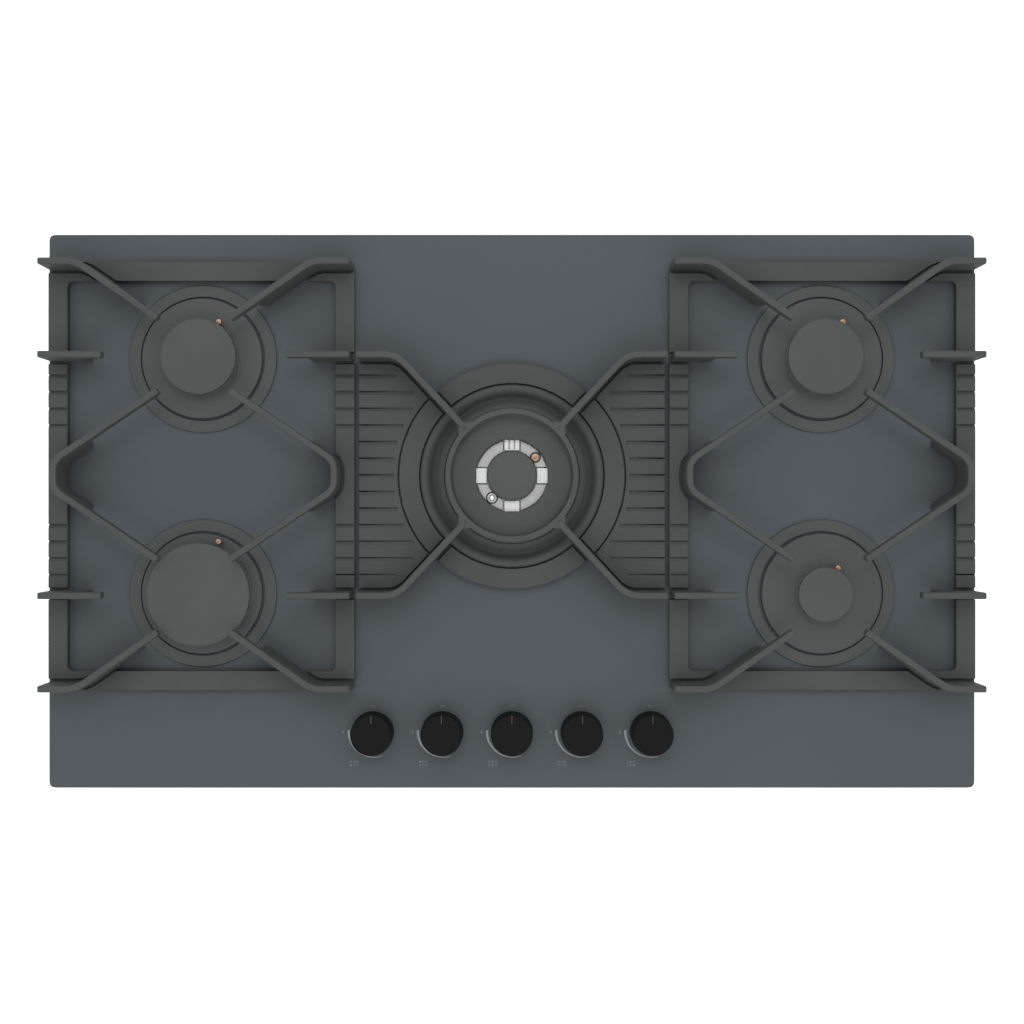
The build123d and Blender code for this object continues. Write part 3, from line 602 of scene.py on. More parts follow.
# %% Bowl and centre base
BOWL = [  # radius, height above the glass, rounding
    (63.3, 0, 0),
    (86.0, 0, 0),
    (86.0, 5.8, 0.8),
    (84.4, 7.0, 1.4),
    (79.6, 6.8, 3.0),
    (73.6, 0.6, 3.4),
    (66.6, 5.4, 1.6),
    (63.3, 5.4, 0.5),
]
CENTRE_BASE_R = 63.0
bowl_outline = eased([(r, GLASS_TOP + z, reach) for r, z, reach in BOWL], 1.0, 6)
dress(turned("bowl", bowl_outline, CENTRE, 128), bowl_enamel_painted_shade, "cooktop", "trim_metal")
dress(joined("trim_rings", rings), enamel, "cooktop", "trim_metal", "burner_trims")
centre_base = [(r + CENTRE_BASE_R - BASE_R if r > 0 else r, z) for r, z in base_outline]
bases.append(turned("centre_base", centre_base, CENTRE, 128))
dress(joined("burner_plates", bases), enamel, "cooktop", "black_enamel", "burner_bases")


# %% [markdown]
# ## The crowns
#
# A crown is the aluminium casting that spreads the gas through a row of ports. An
# array modifier could set out the ports, but their number has to be worked out for
# every size of burner anyway. So a loop places a ring of small blocks, and one
# boolean cuts them all into the spun drum.

# %% Side crowns
CROWN_LOW = BASE_TOP
CROWN_TOP = CROWN_LOW + 13.0
CAP_OVERHANG = 1.4
PORT_PITCH, PORT_WIDTH, PORT_HIGH, PORT_DEEP = 8.0, 3.0, 5.0, 6.0


def ports(radius, place):
    """A ring of blocks that cuts burner ports into the top of a crown."""
    count = round(2 * pi * radius / PORT_PITCH)
    blocks = []
    for k in range(count):
        angle = 2 * pi * k / count
        along = Vector((cos(angle), sin(angle)))
        inner = Vector(place) + along * (radius - PORT_DEEP)
        outer = Vector(place) + along * (radius + 2)
        blocks.append(wall("port", [inner, outer], PORT_WIDTH, CROWN_TOP - PORT_HIGH, CROWN_TOP + 1))
    return joined("ports", blocks)


def drum(name, inner, outer, low, high, place):
    """A turned drum or ring with softened edges."""
    if inner == 0:
        outline = [(0, low, 0), (outer, low, 0.5), (outer, high, 0.8), (0, high, 0)]
    else:
        outline = [(inner, low, 0), (outer, low, 0), (outer, high, 0.8), (inner, high, 0.8)]
    return turned(name, eased(outline, 0.5, 3), place)


crowns = []
for place, cap_radius in SIDE_BURNERS.values():
    radius = cap_radius - CAP_OVERHANG
    crown = drum("crown", 0, radius, CROWN_LOW, CROWN_TOP, place)
    crowns.append(cut(crown, ports(radius, place)))
print("side crowns:", len(crowns))


# %% [markdown]
# The centre crown is two drums in one, and the bright metal of the moat between
# them is what the photograph shows between the two caps. Four links cross the moat,
# the one at the rear with two slits, and its floor is raised in four quarters. One
# ring with gaps cut into it would do for the quarters, but a boolean creases the
# shading of a smooth ring. So each quarter is a slab on two arcs of its own.

# %% Centre crown
OUTER_R, MOAT_OUT, MOAT_IN = 53.6, 33.7, 21.5
MOAT_FLOOR = CROWN_LOW + 2.0
outer_drum = drum("outer_drum", MOAT_OUT, OUTER_R, CROWN_LOW, CROWN_TOP, CENTRE)
cut(outer_drum, ports(OUTER_R, CENTRE))
inner_drum = drum("inner_drum", 0, MOAT_IN, CROWN_LOW, CROWN_TOP, CENTRE)
moat_floor = drum("moat_floor", MOAT_IN - 1, MOAT_OUT + 1, CROWN_LOW, MOAT_FLOOR, CENTRE)
LINK_HALF, LINK_TOP, REAR = 7.0, CROWN_TOP - 2.0, 90
LINK_SLIT, LINK_SLIT_ASIDE, LINK_SLIT_DEEP = 1.1, 2.4, 2.0
SHELF_IN, SHELF_OUT, SHELF_TOP = 23.6, 32.9, LINK_TOP - 1.2
ARC_POINTS = 15


def radial_wall(name, angle, aside, width, low, high, inner, outer):
    """A wall across the moat, at an angle in degrees and some millimetres aside of it."""
    along = Vector((cos(radians(angle)), sin(radians(angle))))
    middle = Vector(CENTRE) + Vector((-along.y, along.x)) * aside
    return wall(name, [middle + along * inner, middle + along * outer], width, low, high)


def shelf_quarter(angle):
    """A quarter of the raised floor of the moat, which stops short of the links on both sides."""
    outline = []
    for radius, forwards in ((SHELF_OUT, True), (SHELF_IN, False)):
        margin = degrees(asin((LINK_HALF + LINK_SLIT) / radius))
        turn = (90 - 2 * margin) * (ARC_POINTS + 1) / ARC_POINTS
        arc = disc(radius, CENTRE, ARC_POINTS, angle + margin, turn)
        outline += arc if forwards else arc[::-1]
    return rounded(slab("shelf", outline, CROWN_LOW + 1, SHELF_TOP), 0.3, 2)


links, shelves = [], []
link_ends, slit_ends = (SHELF_IN - 0.4, SHELF_OUT + 0.4), (SHELF_IN + 1, SHELF_OUT + 3)
slit_low = LINK_TOP - LINK_SLIT_DEEP
for angle in (0, 90, 180, 270):
    shelves.append(shelf_quarter(angle))
    link = radial_wall("link", angle, 0, 2 * LINK_HALF, CROWN_LOW + 1, LINK_TOP, *link_ends)
    for aside in (-LINK_SLIT_ASIDE, LINK_SLIT_ASIDE) if angle == REAR else ():
        cut(link, radial_wall("slit", angle, aside, LINK_SLIT, slit_low, CROWN_TOP, *slit_ends))
    links.append(rounded(link, 0.4, 2))
dress(
    joined("crowns", crowns + [outer_drum, inner_drum, moat_floor] + links),
    cast_aluminium, "cooktop", "burner_alloy", "burner_crowns",
)
dress(joined("moat_shelves", shelves), blasted_aluminium, "cooktop", "burner_alloy")


# %% [markdown]
# ## The caps
#
# The caps are pressed steel with a dark enamel, and lift off for cleaning, so each
# is a piece of its own on its own body. A cylinder with a bevel would do for a flat
# cap, but not for the ring cap, which rises towards its bore. So all are spun from
# a section, whose upper corner is rounder, where the enamel runs over the edge.

# %% Caps
CAP_TOP = CROWN_TOP + 5.1
RING_CAP_R, RING_CAP_EDGE = 55.0, CROWN_TOP + 2.6


def cap_outline(radius):
    """The section of a flat cap."""
    corners = [(0, CROWN_TOP, 0), (radius, CROWN_TOP, 0.5), (radius, CAP_TOP, 1.8), (0, CAP_TOP, 0)]
    return eased(corners, 1.0)


for name, (place, cap_radius) in SIDE_BURNERS.items():
    cap = turned(f"lid_{name}", cap_outline(cap_radius), place)
    dress(cap, enamel, f"cap_{name}", "black_enamel", f"cap_{name}")
inner_cap = turned("lid_centre", cap_outline(INNER_CAP_R), CENTRE)
dress(inner_cap, enamel, "centre_inner_cap", "black_enamel", "centre_inner_cap")
RING_CAP = [
    (MOAT_OUT, CROWN_TOP, 0),
    (RING_CAP_R, CROWN_TOP, 0.5),
    (RING_CAP_R, RING_CAP_EDGE, 1.2),
    (MOAT_OUT, CAP_TOP, 2.0),
]
ring_cap = turned("lid_ring", eased(RING_CAP, 1.0, 5), CENTRE, 128)
# Painted light: the ring cap is coloured paler towards its rim, against the shade of the pan ring above
# it.
ring_cap_painted_light = graded("ring_cap_painted_light", (90, 92, 92), (75, 77, 77), RING_CAP_EDGE, CROWN_TOP + 4.1)
dress(ring_cap, ring_cap_painted_light, "centre_outer_cap", "black_enamel", "centre_outer_cap")


# %% [markdown]
# ## Spark plugs and flame sensor
#
# Beside each crown a post of glazed grey-brown ceramic carries a copper hood, the
# only warm colour on the cooktop. The moat of the centre crown holds a plug of its
# own and the steel flame sensor in a sleeve, each in a dark collar. They could be
# stacked from cylinders, but every step between those would be a sharp edge. So
# each is spun from a short section with rounded corners.

# %% Plugs and sensor
PLUG_HIGH, SENSOR_HIGH, SENSOR_R = 15.0, 18.5, 2.2
PLUG_TOP = GLASS_TOP + PLUG_HIGH
HOOD_R, CENTRE_HOOD_R = 2.7, 3.6
COLLAR_R, COLLAR_TOP = 5.2, GLASS_TOP + 16.8
SLEEVE_IN, SLEEVE_OUT, SLEEVE_TOP = 3.0, 4.4, GLASS_TOP + 17.0
SENSOR_COLLAR_R, SENSOR_COLLAR_TOP = 5.8, GLASS_TOP + 16.6
POST = [
    (0, 0, 0),
    (2.6, 0, 0),
    (2.6, 8.5, 0.4),
    (2.0, 9.2, 0.4),
    (2.0, PLUG_HIGH, 0.6),
    (0, PLUG_HIGH, 0),
]
SENSOR = [(0, 0, 0), (SENSOR_R, 0, 0), (SENSOR_R, SENSOR_HIGH, 1.2), (0, SENSOR_HIGH, 0)]


def from_glass(corners, parts):
    """A section whose heights start at the glass, with its corners rounded."""
    return eased([(r, GLASS_TOP + z, reach) for r, z, reach in corners], 0.4, parts)


def hood_outline(radius):
    """The section of a copper hood with a small nub on top."""
    skirt = [(0, -1.0, 0), (radius, -1.0, 0), (radius, 2.2, 0.9)]
    nub = [(1.1, 2.2, 0.3), (1.1, 3.5, 0.6), (0, 3.5, 0)]
    return eased([(r, PLUG_TOP + z, reach) for r, z, reach in skirt + nub], 0.4, 3)


def collar_outline(inner, outer, top):
    """The section of a collar that stands on the floor of the moat."""
    foot = [(inner, MOAT_FLOOR, 0), (outer, MOAT_FLOOR, 0)]
    return eased(foot + [(outer, top, 0.5), (inner, top, 0.5)], 0.4, 3)


def beside(place, radius, angle):
    """The point at a radius and an angle in degrees from a place."""
    return (place[0] + radius * cos(radians(angle)), place[1] + radius * sin(radians(angle)))


PLUG_SPOTS = [(2.0, 62.0), (2.0, 62.0), (4.0, 70.5), (2.0, 62.0)]  # past the cap's edge, and angle
IN_MOAT_R, MOAT_PLUG_ANGLE, SENSOR_ANGLE = 27.6, 38.0, 228.0
plug_places = [
    beside(place, r + past, angle)
    for (place, r), (past, angle) in zip(SIDE_BURNERS.values(), PLUG_SPOTS)
]
moat_plug_place = beside(CENTRE, IN_MOAT_R, MOAT_PLUG_ANGLE)
plug_places.append(moat_plug_place)
posts = [turned("post", from_glass(POST, 2), p, 24) for p in plug_places]
hoods = [HOOD_R] * len(SIDES) + [CENTRE_HOOD_R]
tips = [turned("tip", hood_outline(r), p, 32) for r, p in zip(hoods, plug_places)]
dress(joined("plug_posts", posts), ceramic, "cooktop", "plug_ceramic", "spark_plugs")
dress(joined("plug_tips", tips), electrode_copper, "cooktop", "sensor_steel")
sensor_place = beside(CENTRE, IN_MOAT_R, SENSOR_ANGLE)
sensor = turned("sensor_rod", from_glass(SENSOR, 3), sensor_place, 32)
sleeve = turned("sleeve", collar_outline(SLEEVE_IN, SLEEVE_OUT, SLEEVE_TOP), sensor_place, 32)
dress(sensor, polished_steel, "cooktop", "sensor_steel", "flame_sensor")
dress(sleeve, supply_steel, "cooktop", "sensor_steel")
plug_collar = collar_outline(CENTRE_HOOD_R + 0.2, COLLAR_R, COLLAR_TOP)
sensor_collar = collar_outline(SLEEVE_OUT + 0.1, SENSOR_COLLAR_R, SENSOR_COLLAR_TOP)
collars = [
    turned("collar", plug_collar, moat_plug_place, 32),
    turned("collar", sensor_collar, sensor_place, 32),
]
dress(joined("moat_collars", collars), black_plastic, "cooktop", "plug_ceramic")


# %% [markdown]
# ## The knobs
#
# A knob is a satin moulding with a little draft, a softly rounded top edge and a
# slightly hollow top. Its pointer is a short groove at the rear edge with a grey
# line inlaid. A line of paint would do from above, but a groove with a lower inlay
# also shows when the knob is seen from the side. One knob and one line are made at
# the origin, and five copies go to their places.

# %% Knobs
knob_low, knob_high = span("knob_1")
KNOB_R = axis_and_radius("knob_1")[1]
KNOB = [
    (0, knob_low.z, 0),
    (KNOB_R - 1.2, knob_low.z, 0.3),
    (KNOB_R, knob_low.z + 1.2, 0.5),
    (KNOB_R - 0.5, knob_high.z, 1.6),
    (KNOB_R - 4.0, knob_high.z, 1.0),
    (0, knob_high.z - 0.35, 0),
]
POINTER_OUT, POINTER_LONG, POINTER_WIDE, POINTER_DEEP = KNOB_R - 1.0, 8.5, 1.4, 0.7
LINE_LONG, LINE_WIDE, LINE_TOP = POINTER_LONG - 0.6, 1.0, knob_high.z - 0.3
POINTER_MID = POINTER_OUT - POINTER_LONG / 2
knob = turned("knob", eased(KNOB, 1.0, 6), steps=128)
groove_outline = oblong(POINTER_WIDE, POINTER_LONG, 0.5, 0, POINTER_MID)
smoothed(cut(knob, slab("pointer", groove_outline, knob_high.z - POINTER_DEEP, knob_high.z + 1)))
line_outline = oblong(LINE_WIDE, LINE_LONG, 0.4, 0, POINTER_MID)
line = rounded(slab("line", line_outline, knob_high.z - 1, LINE_TOP), 0.12, 2)
for number, place in enumerate(KNOBS, start=1):
    own_knob = copied(knob, *place)
    own_knob.name = f"control_{number}"
    dress(own_knob, knob_black, f"knob_{number}", "knob_plastic", f"knob_{number}")
    own_line = copied(line, *place)
    own_line.name = f"pointer_{number}"
    dress(own_line, pointer_grey, f"knob_{number}", "knob_plastic")
bpy.data.objects.remove(line)
bpy.data.objects.remove(knob)


# %% [markdown]
# ## The side grates
#
# A side grate is one iron casting: a flat frame with a rounded opening, and ribs
# that stand in narrow grooves and reach over the burners as fingers. It is
# symmetric, so one quarter of its ribs is modelled about the origin and mirrored
# twice. Curves with a bevel could make the fingers, but they would be round, and
# these are flat walls. So walls stand on bent lines, which are set out here.

# %% Side grate: lines of its ribs
RIB_WIDTH, GROOVE_GAP, GROOVE_DEEP = 6.0, 2.4, 5.0
BAR, BEND = 18.0, 9.0
low, high = span("grate_left")
HALF_X, HALF_Y = (high.x - low.x) / 2, (high.y - low.y) / 2
OPEN_X, OPEN_Y = HALF_X - BAR, HALF_Y - BAR
GRATE_Y = (high.y + low.y) / 2
BURNER_Y = PLACES[0][1] - GRATE_Y
RIB_INSET, RIB_END = 5.0, HALF_X - 1  # the corner ribs' distance from the edge, and where ribs start
FINGER = 33.0  # a diagonal finger ends this far from the burner's axis, in x and in y
CORNER_RUN, SHORT_RUN = 35.3, 59.0
V_INSET, V_HALF = 15.0, 13.0
CORNER_RIB = [
    (RIB_END, HALF_Y - RIB_INSET),
    (HALF_X - CORNER_RUN, HALF_Y - RIB_INSET),
    (FINGER, BURNER_Y + FINGER),
]
SHORT_RIB = [(RIB_END, BURNER_Y), (HALF_X - SHORT_RUN, BURNER_Y)]
V_RIB = [
    (FINGER, BURNER_Y - FINGER),
    (HALF_X - V_INSET, V_HALF),
    (HALF_X - V_INSET, -V_HALF),
    (FINGER, FINGER - BURNER_Y),
]
print("side grate:", HALF_X * 2, "by", HALF_Y * 2, "mm, burners", BURNER_Y, "mm from its middle")


# %% [markdown]
# The fingers have slanted roots. Every root could be drawn as an outline of its own,
# but one tapered block that fills the opening gives all of them the same slant.

# %% Side grate: ribs
def to_edge(line, half):
    """A rib's line whose first point is moved out past the edge of its plate."""
    return [Vector((half + 2, line[0][1]))] + [Vector(p[:2]) for p in line[1:]]


def mirrored(piece, x=True, y=True):
    """A piece and its mirror images about the origin."""
    return applied(piece, "MIRROR", use_axis=(x, y, False), use_mirror_merge=False)


def rib_walls(width, low, high, past_edge=False):
    """All ribs of a side grate as walls, or wider walls that cut their grooves."""
    corner, short = CORNER_RIB, SHORT_RIB
    if past_edge:
        corner, short = to_edge(corner, HALF_X), to_edge(short, HALF_X)
    arms = [
        wall("corner_rib", eased(corner, BEND, 6, closed=False), width, low, high),
        wall("short_rib", [Vector(p) for p in short], width, low, high),
    ]
    quarter = mirrored(joined("ribs", arms))
    double = mirrored(wall("v_rib", eased(V_RIB, BEND, 6, closed=False), width, low, high), y=False)
    return joined("ribs", [quarter, double])


UNDERCUT_TOP, UNDERCUT_RUN = 40.0, 22.0
SLOPE = UNDERCUT_RUN / (UNDERCUT_TOP - FRAME_LOW)
undercut_outline = oblong(2 * OPEN_X + 2 * SLOPE, 2 * OPEN_Y + 2 * SLOPE, 0)
undercut = slab("undercut", undercut_outline, FRAME_LOW - 1, UNDERCUT_TOP)
for vertex in undercut.data.vertices:
    vertex.select = vertex.co.z > (UNDERCUT_TOP - 1) * MM
top_x = (OPEN_X - UNDERCUT_RUN) / (OPEN_X + SLOPE)
top_y = (OPEN_Y - UNDERCUT_RUN) / (OPEN_Y + SLOPE)
focus(undercut)
bpy.ops.object.mode_set(mode="EDIT")
bpy.ops.transform.resize(value=(top_x, top_y, 1), center_override=(0, 0, 0))
bpy.ops.object.mode_set(mode="OBJECT")
side_ribs = cut(rib_walls(RIB_WIDTH, FRAME_LOW, RIB_TOP), undercut)
rounded(side_ribs, 1.3, 3)
print("side ribs:", len(side_ribs.data.polygons), "faces")


# %% [markdown]
# The frame is a filled outline with a rounded opening. Its top stops short of the
# ribs, so wider copies of the same walls cut the grooves beside them. A bevel then
# rounds every edge, as casting and enamel do. Last, scores run across the long bars,
# in line with those of the centre grate: each is a wide shallow step with a narrow
# slit along its rear side. They could be drawn into a bump, but a bump casts no
# shade. They are cut after the bevel, which would eat up such small steps.

# %% Side grate: frame
SCORE_PITCH, SCORE_WIDTH, SCORE_DEEP = 15.52, 3.7, 1.1
SLIT_WIDTH, BAR_SLIT_DEEP, PLATE_SLIT_DEEP = 1.5, 2.6, 1.9
SCORES = [SCORE_PITCH * (6 - k) for k in range(13)]
OUTER_SCORES = SCORES[:4] + SCORES[-4:]
CUT_TOP = 20.0  # the tools that cut grooves reach this high, well above the frame


def score_blocks(levels, start, end, width, deep):
    """Blocks that cut scores with round ends across a bar, from x start to x end."""
    length, middle, rear = end - start, (start + end) / 2, (SCORE_WIDTH - width) / 2
    outlines = [oblong(length, width, width / 2.01, middle, y + rear) for y in levels]
    return joined("scores", [slab("score", one, FRAME_TOP - deep, FRAME_TOP + 1) for one in outlines])


side_frame = slab("side_frame", oblong(2 * HALF_X, 2 * HALF_Y, 5), FRAME_LOW, FRAME_TOP)
cut(side_frame, slab("opening", oblong(2 * OPEN_X, 2 * OPEN_Y, 6), FRAME_LOW - 1, FRAME_TOP + 1))
groove_low = FRAME_TOP - GROOVE_DEEP
cut(side_frame, rib_walls(RIB_WIDTH + 2 * GROOVE_GAP, groove_low, FRAME_TOP + 2, past_edge=True))
rounded(side_frame, 0.7, 2)
for width, deep in ((SCORE_WIDTH, SCORE_DEEP), (SLIT_WIDTH, BAR_SLIT_DEEP)):
    across = score_blocks(OUTER_SCORES, OPEN_X - 3, HALF_X + 3, width, deep)
    cut(side_frame, mirrored(across, y=False))
smoothed(side_frame)
side_grate = joined("side_grate", [side_frame, side_ribs])
for side in ("left", "right"):
    low, high = span(f"grate_{side}")
    own_grate = copied(side_grate, (low.x + high.x) / 2, GRATE_Y)
    own_grate.name = f"casting_{side}"
    dress(own_grate, cast_iron, f"grate_{side}", "cast_iron", f"grate_{side}")
bpy.data.objects.remove(side_grate)


# %% [markdown]
# ## The centre grate
#
# The centre grate is two side plates on a flat ring, and four ribs that run in to
# a smaller ring for pans. Plates and ring are one casting with a narrow groove
# between them. A plate could be cut out of one big sheet, but half of its outline
# is straight, so it is drawn, mirrored and united with the ring.

# %% Centre grate: plates and ring
low, high = span("grate_centre")
CENTRE_HALF = (high.x - low.x) / 2
RING_R_IN, RING_R_OUT, RING_GROOVE, PLATE_HOLE_R = 86.7, 105.2, 1.5, 95
PLATE_HALF, PLATE_EDGE, NECK_X, NECK_Y = 113.0, CENTRE_HALF - 38.0, 60.0, 66.0
PLATE = [
    (CENTRE_HALF, PLATE_HALF, 2),
    (PLATE_EDGE, PLATE_HALF, 5),
    (NECK_X, NECK_Y, 0),
    (NECK_X, -NECK_Y, 0),
    (PLATE_EDGE, -PLATE_HALF, 5),
    (CENTRE_HALF, -PLATE_HALF, 2),
]
PAN_IN, PAN_OUT, PAN_LOW, PAN_TOP = 56.0, 61.0, 37.0, 46.0
PAN_MID = (PAN_IN + PAN_OUT) / 2
RIB_Y = 110.0
CENTRE_RIB = [
    (CENTRE_HALF - 1, RIB_Y),
    (PLATE_EDGE, RIB_Y),
    (PAN_MID * cos(pi / 4), PAN_MID * sin(pi / 4)),
]


def upright(inner, outer, low, high):
    """The section of a ring or disc with sharp corners."""
    return [(inner, low), (outer, low), (outer, high), (inner, high)]


def centre_ribs(line, width, low, high):
    """The four ribs of the centre grate as walls."""
    return mirrored(wall("centre_rib", eased(line, 12, 6, closed=False), width, low, high))


plates = mirrored(slab("plates", eased(PLATE, 2), FRAME_LOW, FRAME_TOP), y=False)
cut(plates, turned("hole", upright(0, PLATE_HOLE_R, FRAME_LOW - 1, FRAME_TOP + 1)))
flat_ring = turned("flat_ring", upright(RING_R_IN, RING_R_OUT + 0.01, FRAME_LOW, FRAME_TOP), steps=128)
cut(plates, flat_ring, "UNION")
ring_groove = upright(RING_R_OUT, RING_R_OUT + RING_GROOVE, groove_low, CUT_TOP)
cut(plates, turned("ring_groove", ring_groove, steps=128))
rib_grooves = (RIB_WIDTH + 2 * GROOVE_GAP, groove_low, CUT_TOP)
cut(plates, centre_ribs(to_edge(CENTRE_RIB, CENTRE_HALF), *rib_grooves))
print("plates:", len(plates.data.polygons), "faces")


# %% [markdown]
# Thirteen scores run in from the outer edge of each plate. Their inner ends follow
# the ring and the ribs, at distances from the middle that are read off the
# photograph, from the rear to the front.

# %% Centre grate: scores
SCORE_ENDS = [113.7, 97.9, 98.6, 107.4, 112.9, 115.9, 116.4, 115.9, 112.9, 106.9, 98.6, 98.6, 114.3]
END_ROUND = 6.5  # the blocks start this much nearer to the middle
rounded(plates, 0.6, 2)
for width, deep in ((SCORE_WIDTH, SCORE_DEEP), (SLIT_WIDTH, PLATE_SLIT_DEEP)):
    across = [
        score_blocks([y], x - END_ROUND, CENTRE_HALF + 3, width, deep)
        for y, x in zip(SCORES, SCORE_ENDS)
    ]
    cut(plates, mirrored(joined("scores", across), y=False))
smoothed(plates)
print("plates with scores:", len(plates.data.polygons), "faces")


# %% [markdown]
# The ribs are walls like those of the side grates, but here turned tools cut them:
# a cone below, where the flame needs room, and a dip above, down to the pan ring. A
# flare widens each rib where it meets the ring, because iron needs a thick root to
# run through the mould.

# %% Centre grate: ribs and pan ring
CONE_LOW, CONE_RUN, DIP_RUN = 8, 18, 24
FLARE = [(PAN_MID, 10.5, 0), (PAN_OUT - 0.6, 8.5, 1.0), (PAN_OUT + 5, 2.8, 4.0), (PAN_OUT + 12, 2.2, 0)]
cone = [
    (0, CONE_LOW),
    (RING_R_IN, CONE_LOW),
    (RING_R_IN, FRAME_TOP),
    (RING_R_IN - CONE_RUN, PAN_LOW),
    (0, PAN_LOW),
]
cone_below = turned("cone_below", cone)
dip = [(0, PAN_TOP), (PAN_OUT, PAN_TOP), (PAN_OUT + DIP_RUN, RIB_TOP + 2), (0, RIB_TOP + 2)]
dip_above = turned("dip_above", dip)
ribs = centre_ribs(CENTRE_RIB, RIB_WIDTH, FRAME_LOW, RIB_TOP)
cut(ribs, cone_below)
cut(ribs, dip_above)
one_side = eased(FLARE, 2, 5, closed=False)
flare_outline = one_side + [Vector((p.x, -p.y)) for p in reversed(one_side)]
on_diagonal = [Vector((p.x - p.y, p.x + p.y)) * 0.5 ** 0.5 for p in flare_outline]
flares = mirrored(slab("flare", on_diagonal, PAN_LOW + 0.6, PAN_TOP - 0.1))
rounded(flares, 0.6, 2)
rounded(ribs, 1.3, 3)
pan_ring = turned("pan_ring", eased(upright(PAN_IN, PAN_OUT, PAN_LOW, PAN_TOP), 0.8), steps=128)
centre_grate = joined("casting_centre", [plates, ribs, flares, pan_ring])
moved(centre_grate, *CENTRE)
dress(centre_grate, cast_iron, "grate_centre", "cast_iron", "grate_centre")


# %% [markdown]
# ## Printed marks
#
# Round the lower left of each knob a pale crescent shows how far the flame opens. A
# small ring above the knob means off, a flame stands on its left, and further down
# a plan of the burners has six rings, of which the knob's own burner is filled in
# and the centre burner takes two. An image could carry all this, but print keeps
# sharp edges close up. So the marks are slabs and rings, a few hundredths of a
# millimetre proud of the glass, like a film of print.

# %% Marks on the glass
MARK_LOW, MARK_TOP = GLASS_TOP - 0.02, GLASS_TOP + 0.06
STEPS, START, TURN = 28, 178, 112
CRESCENT_OUT, OUT_GROWS, CRESCENT_IN, IN_GROWS = 24.4, 0.6, 22.3, 2.3
FLAME = [(0, 1.6, 0), (1.0, -0.2, 0.6), (0.55, -1.3, 0.4), (-0.55, -1.3, 0.4), (-1.0, -0.2, 0.6)]
PLAN = [(-3.1, -1.6), (-3.1, 1.6), (0, -1.6), (0, 1.6), (3.1, 1.6), (3.1, -1.6)]
FILLED = [(0,), (1,), (2, 3), (4,), (5,)]
FLAME_X, FLAME_Y, OFF_Y, OFF_R = -28.4, -0.8, 23.6, 1.2
PLAN_X, PLAN_Y, SPOT_R = -18.2, -30.3, 1.0


def swept(radius, growth):
    """Points along the crescent, whose distance from the knob's axis grows evenly."""
    shares = [k / STEPS for k in range(STEPS + 1)]
    return [Vector(beside((0, 0), radius + growth * s, START + TURN * s)) for s in shares]


def hollow(place, radius, width):
    """A thin printed ring."""
    return turned("ring_mark", upright(radius - width, radius, MARK_LOW, MARK_TOP), place, 20)


crescent = swept(CRESCENT_OUT, OUT_GROWS) + swept(CRESCENT_IN, IN_GROWS)[::-1]
crescents, marks = [], []
for number, (x, y) in enumerate(KNOBS):
    crescents.append(moved(slab("crescent", crescent, MARK_LOW, MARK_TOP), x, y))
    flame = slab("flame", eased(FLAME, 0.4, 3), MARK_LOW, MARK_TOP)
    marks.append(moved(flame, x + FLAME_X, y + FLAME_Y))
    marks.append(hollow((x, y + OFF_Y), OFF_R, 0.45))
    for k, (plan_x, plan_y) in enumerate(PLAN):
        spot = (x + PLAN_X + plan_x, y + PLAN_Y + plan_y)
        if k in FILLED[number]:
            marks.append(slab("spot", disc(SPOT_R, spot, 16), MARK_LOW, MARK_TOP))
        else:
            marks.append(hollow(spot, SPOT_R, 0.4))
dress(joined("flame_crescents", crescents), print_grey, "cooktop", "tinted_glass")
dress(joined("printed_signs", marks), faint_print, "cooktop", "tinted_glass")


# %% [markdown]
# ## What hides under the glass
#
# The pieces below the glass keep their CAD shapes: folded sheet, drawn pipe and
# die-cast taps are plain forms, and spinning them anew would add nothing to see.
# They still get the finish of their real material, because the cooktop is looked at
# from all sides.

# %% Finishes of the CAD nodes that stay
KEPT = {
    zinc_sheet: ["burner_box", "rail_bracket", "burner_bridges"],
    supply_steel: ["gas_rail", "gas_feed"] + [f"spindle_{k}" for k in range(1, 6)],
    cast_aluminium: ["gas_taps", "gas_pipes", "burner_cups"],
    black_plastic: ["ignition_module", "cable_gland"],
    soft_rubber: ["worktop_seal", "grate_feet_left", "grate_feet_centre", "grate_feet_right"],
}
for finish, nodes in KEPT.items():
    for node in nodes:
        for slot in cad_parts[node].material_slots:
            slot.material = finish
print("CAD nodes kept:", sum(len(nodes) for nodes in KEPT.values()))


# %% [markdown]
# ## Floor, light and background
#
# A pale floor and a white world give the clean background. The floor could be lit
# until it turns white, but then the cooktop would be too bright. So it glows a
# little of its own, only where the camera or a reflection sees it.

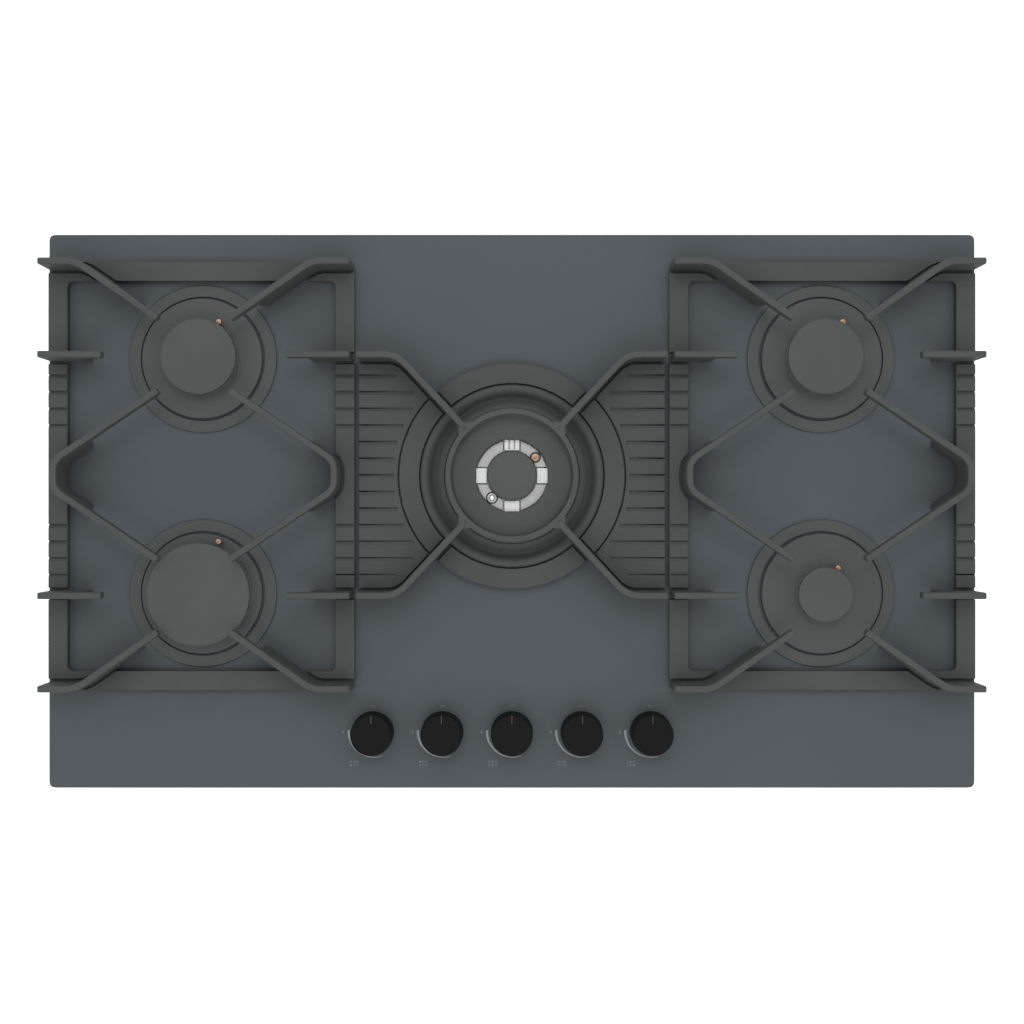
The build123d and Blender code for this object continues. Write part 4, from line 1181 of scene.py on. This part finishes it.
# %% Floor
FLOOR_SIZE, FLOOR_LEVEL = 6.0, span("burner_box")[0].z
CAMERA_GLOW, MIRROR_GLOW = 0.5, 0.3
bpy.ops.object.select_all(action="DESELECT")
bpy.ops.mesh.primitive_plane_add(size=FLOOR_SIZE, location=(0, 0, FLOOR_LEVEL * MM))
floor = bpy.context.object
floor.name = "studio_floor"
bpy.ops.object.transform_apply(location=True, rotation=True, scale=True)
paper = Finish("studio_paper", Roughness=0.9)
fibres = paper.noise(300.0, 2.0)
paper.set(Base_Color=paper.blend(fibres, (0.88, 0.88, 0.88, 1), (0.92, 0.92, 0.92, 1)))
seen = paper.node("ShaderNodeLightPath", output="Is Camera Ray")
shine = paper.node("ShaderNodeLightPath", output="Is Glossy Ray")
glow = paper.node("ShaderNodeEmission", inputs={"Strength": seen * CAMERA_GLOW + shine * MIRROR_GLOW})
added = paper.node("ShaderNodeAddShader", inputs={0: glow, 1: Signal(paper, paper.shader.outputs[0])})
paper.tree.links.new(added.socket, paper.tree.nodes["Material Output"].inputs["Surface"])
floor.data.materials.append(paper.material)
print("floor at", round(floor.data.vertices[0].co.z, 4), "m")


# %% [markdown]
# The light on the photograph is even and soft, with dark gaps between the pieces. A
# light tent of walls could give it, but the world does so with fewer parts: the
# camera, reflections and glass see it white, and all other light from it is a
# little weaker. Two large lamps add a soft direction, the rear one the stronger.

# %% World and lamps
WORLD_LIGHT = 0.82
world = bpy.data.worlds.new("studio_world")
bpy.context.scene.world = world
world.use_nodes = True
tree = world.node_tree
rays = tree.nodes.new("ShaderNodeLightPath").outputs
strength = tree.nodes.new("ShaderNodeMapRange")
background = tree.nodes["Background"]


def larger(first, second):
    """A Math node that passes on the larger of two signals."""
    node = tree.nodes.new("ShaderNodeMath")
    node.operation = "MAXIMUM"
    tree.links.new(first, node.inputs[0])
    tree.links.new(second, node.inputs[1])
    return node.outputs[0]


bounced = larger(rays["Is Glossy Ray"], rays["Is Transmission Ray"])
tree.links.new(larger(rays["Is Camera Ray"], bounced), strength.inputs["Value"])
strength.inputs["To Min"].default_value = WORLD_LIGHT
strength.inputs["To Max"].default_value = 1.0
tree.links.new(strength.outputs["Result"], background.inputs["Strength"])
background.inputs["Color"].default_value = (1, 1, 1, 1)


def lamp(name, place, size, power):
    """A square soft lamp that looks at the middle of the cooktop; power is in watts."""
    bpy.ops.object.light_add(type="AREA", location=place)
    light = bpy.context.object
    light.name = name
    light.data.size = size
    light.data.energy = power
    light.rotation_euler = (-Vector(place)).to_track_quat("-Z", "Y").to_euler()
    return light


lamps = [
    lamp("rear_lamp", (0.0, 0.95, 2.1), size=1.0, power=9),
    lamp("front_lamp", (0.0, -0.95, 2.1), size=1.0, power=6),
]
print("lamps:", [(light.name, light.data.energy) for light in lamps])
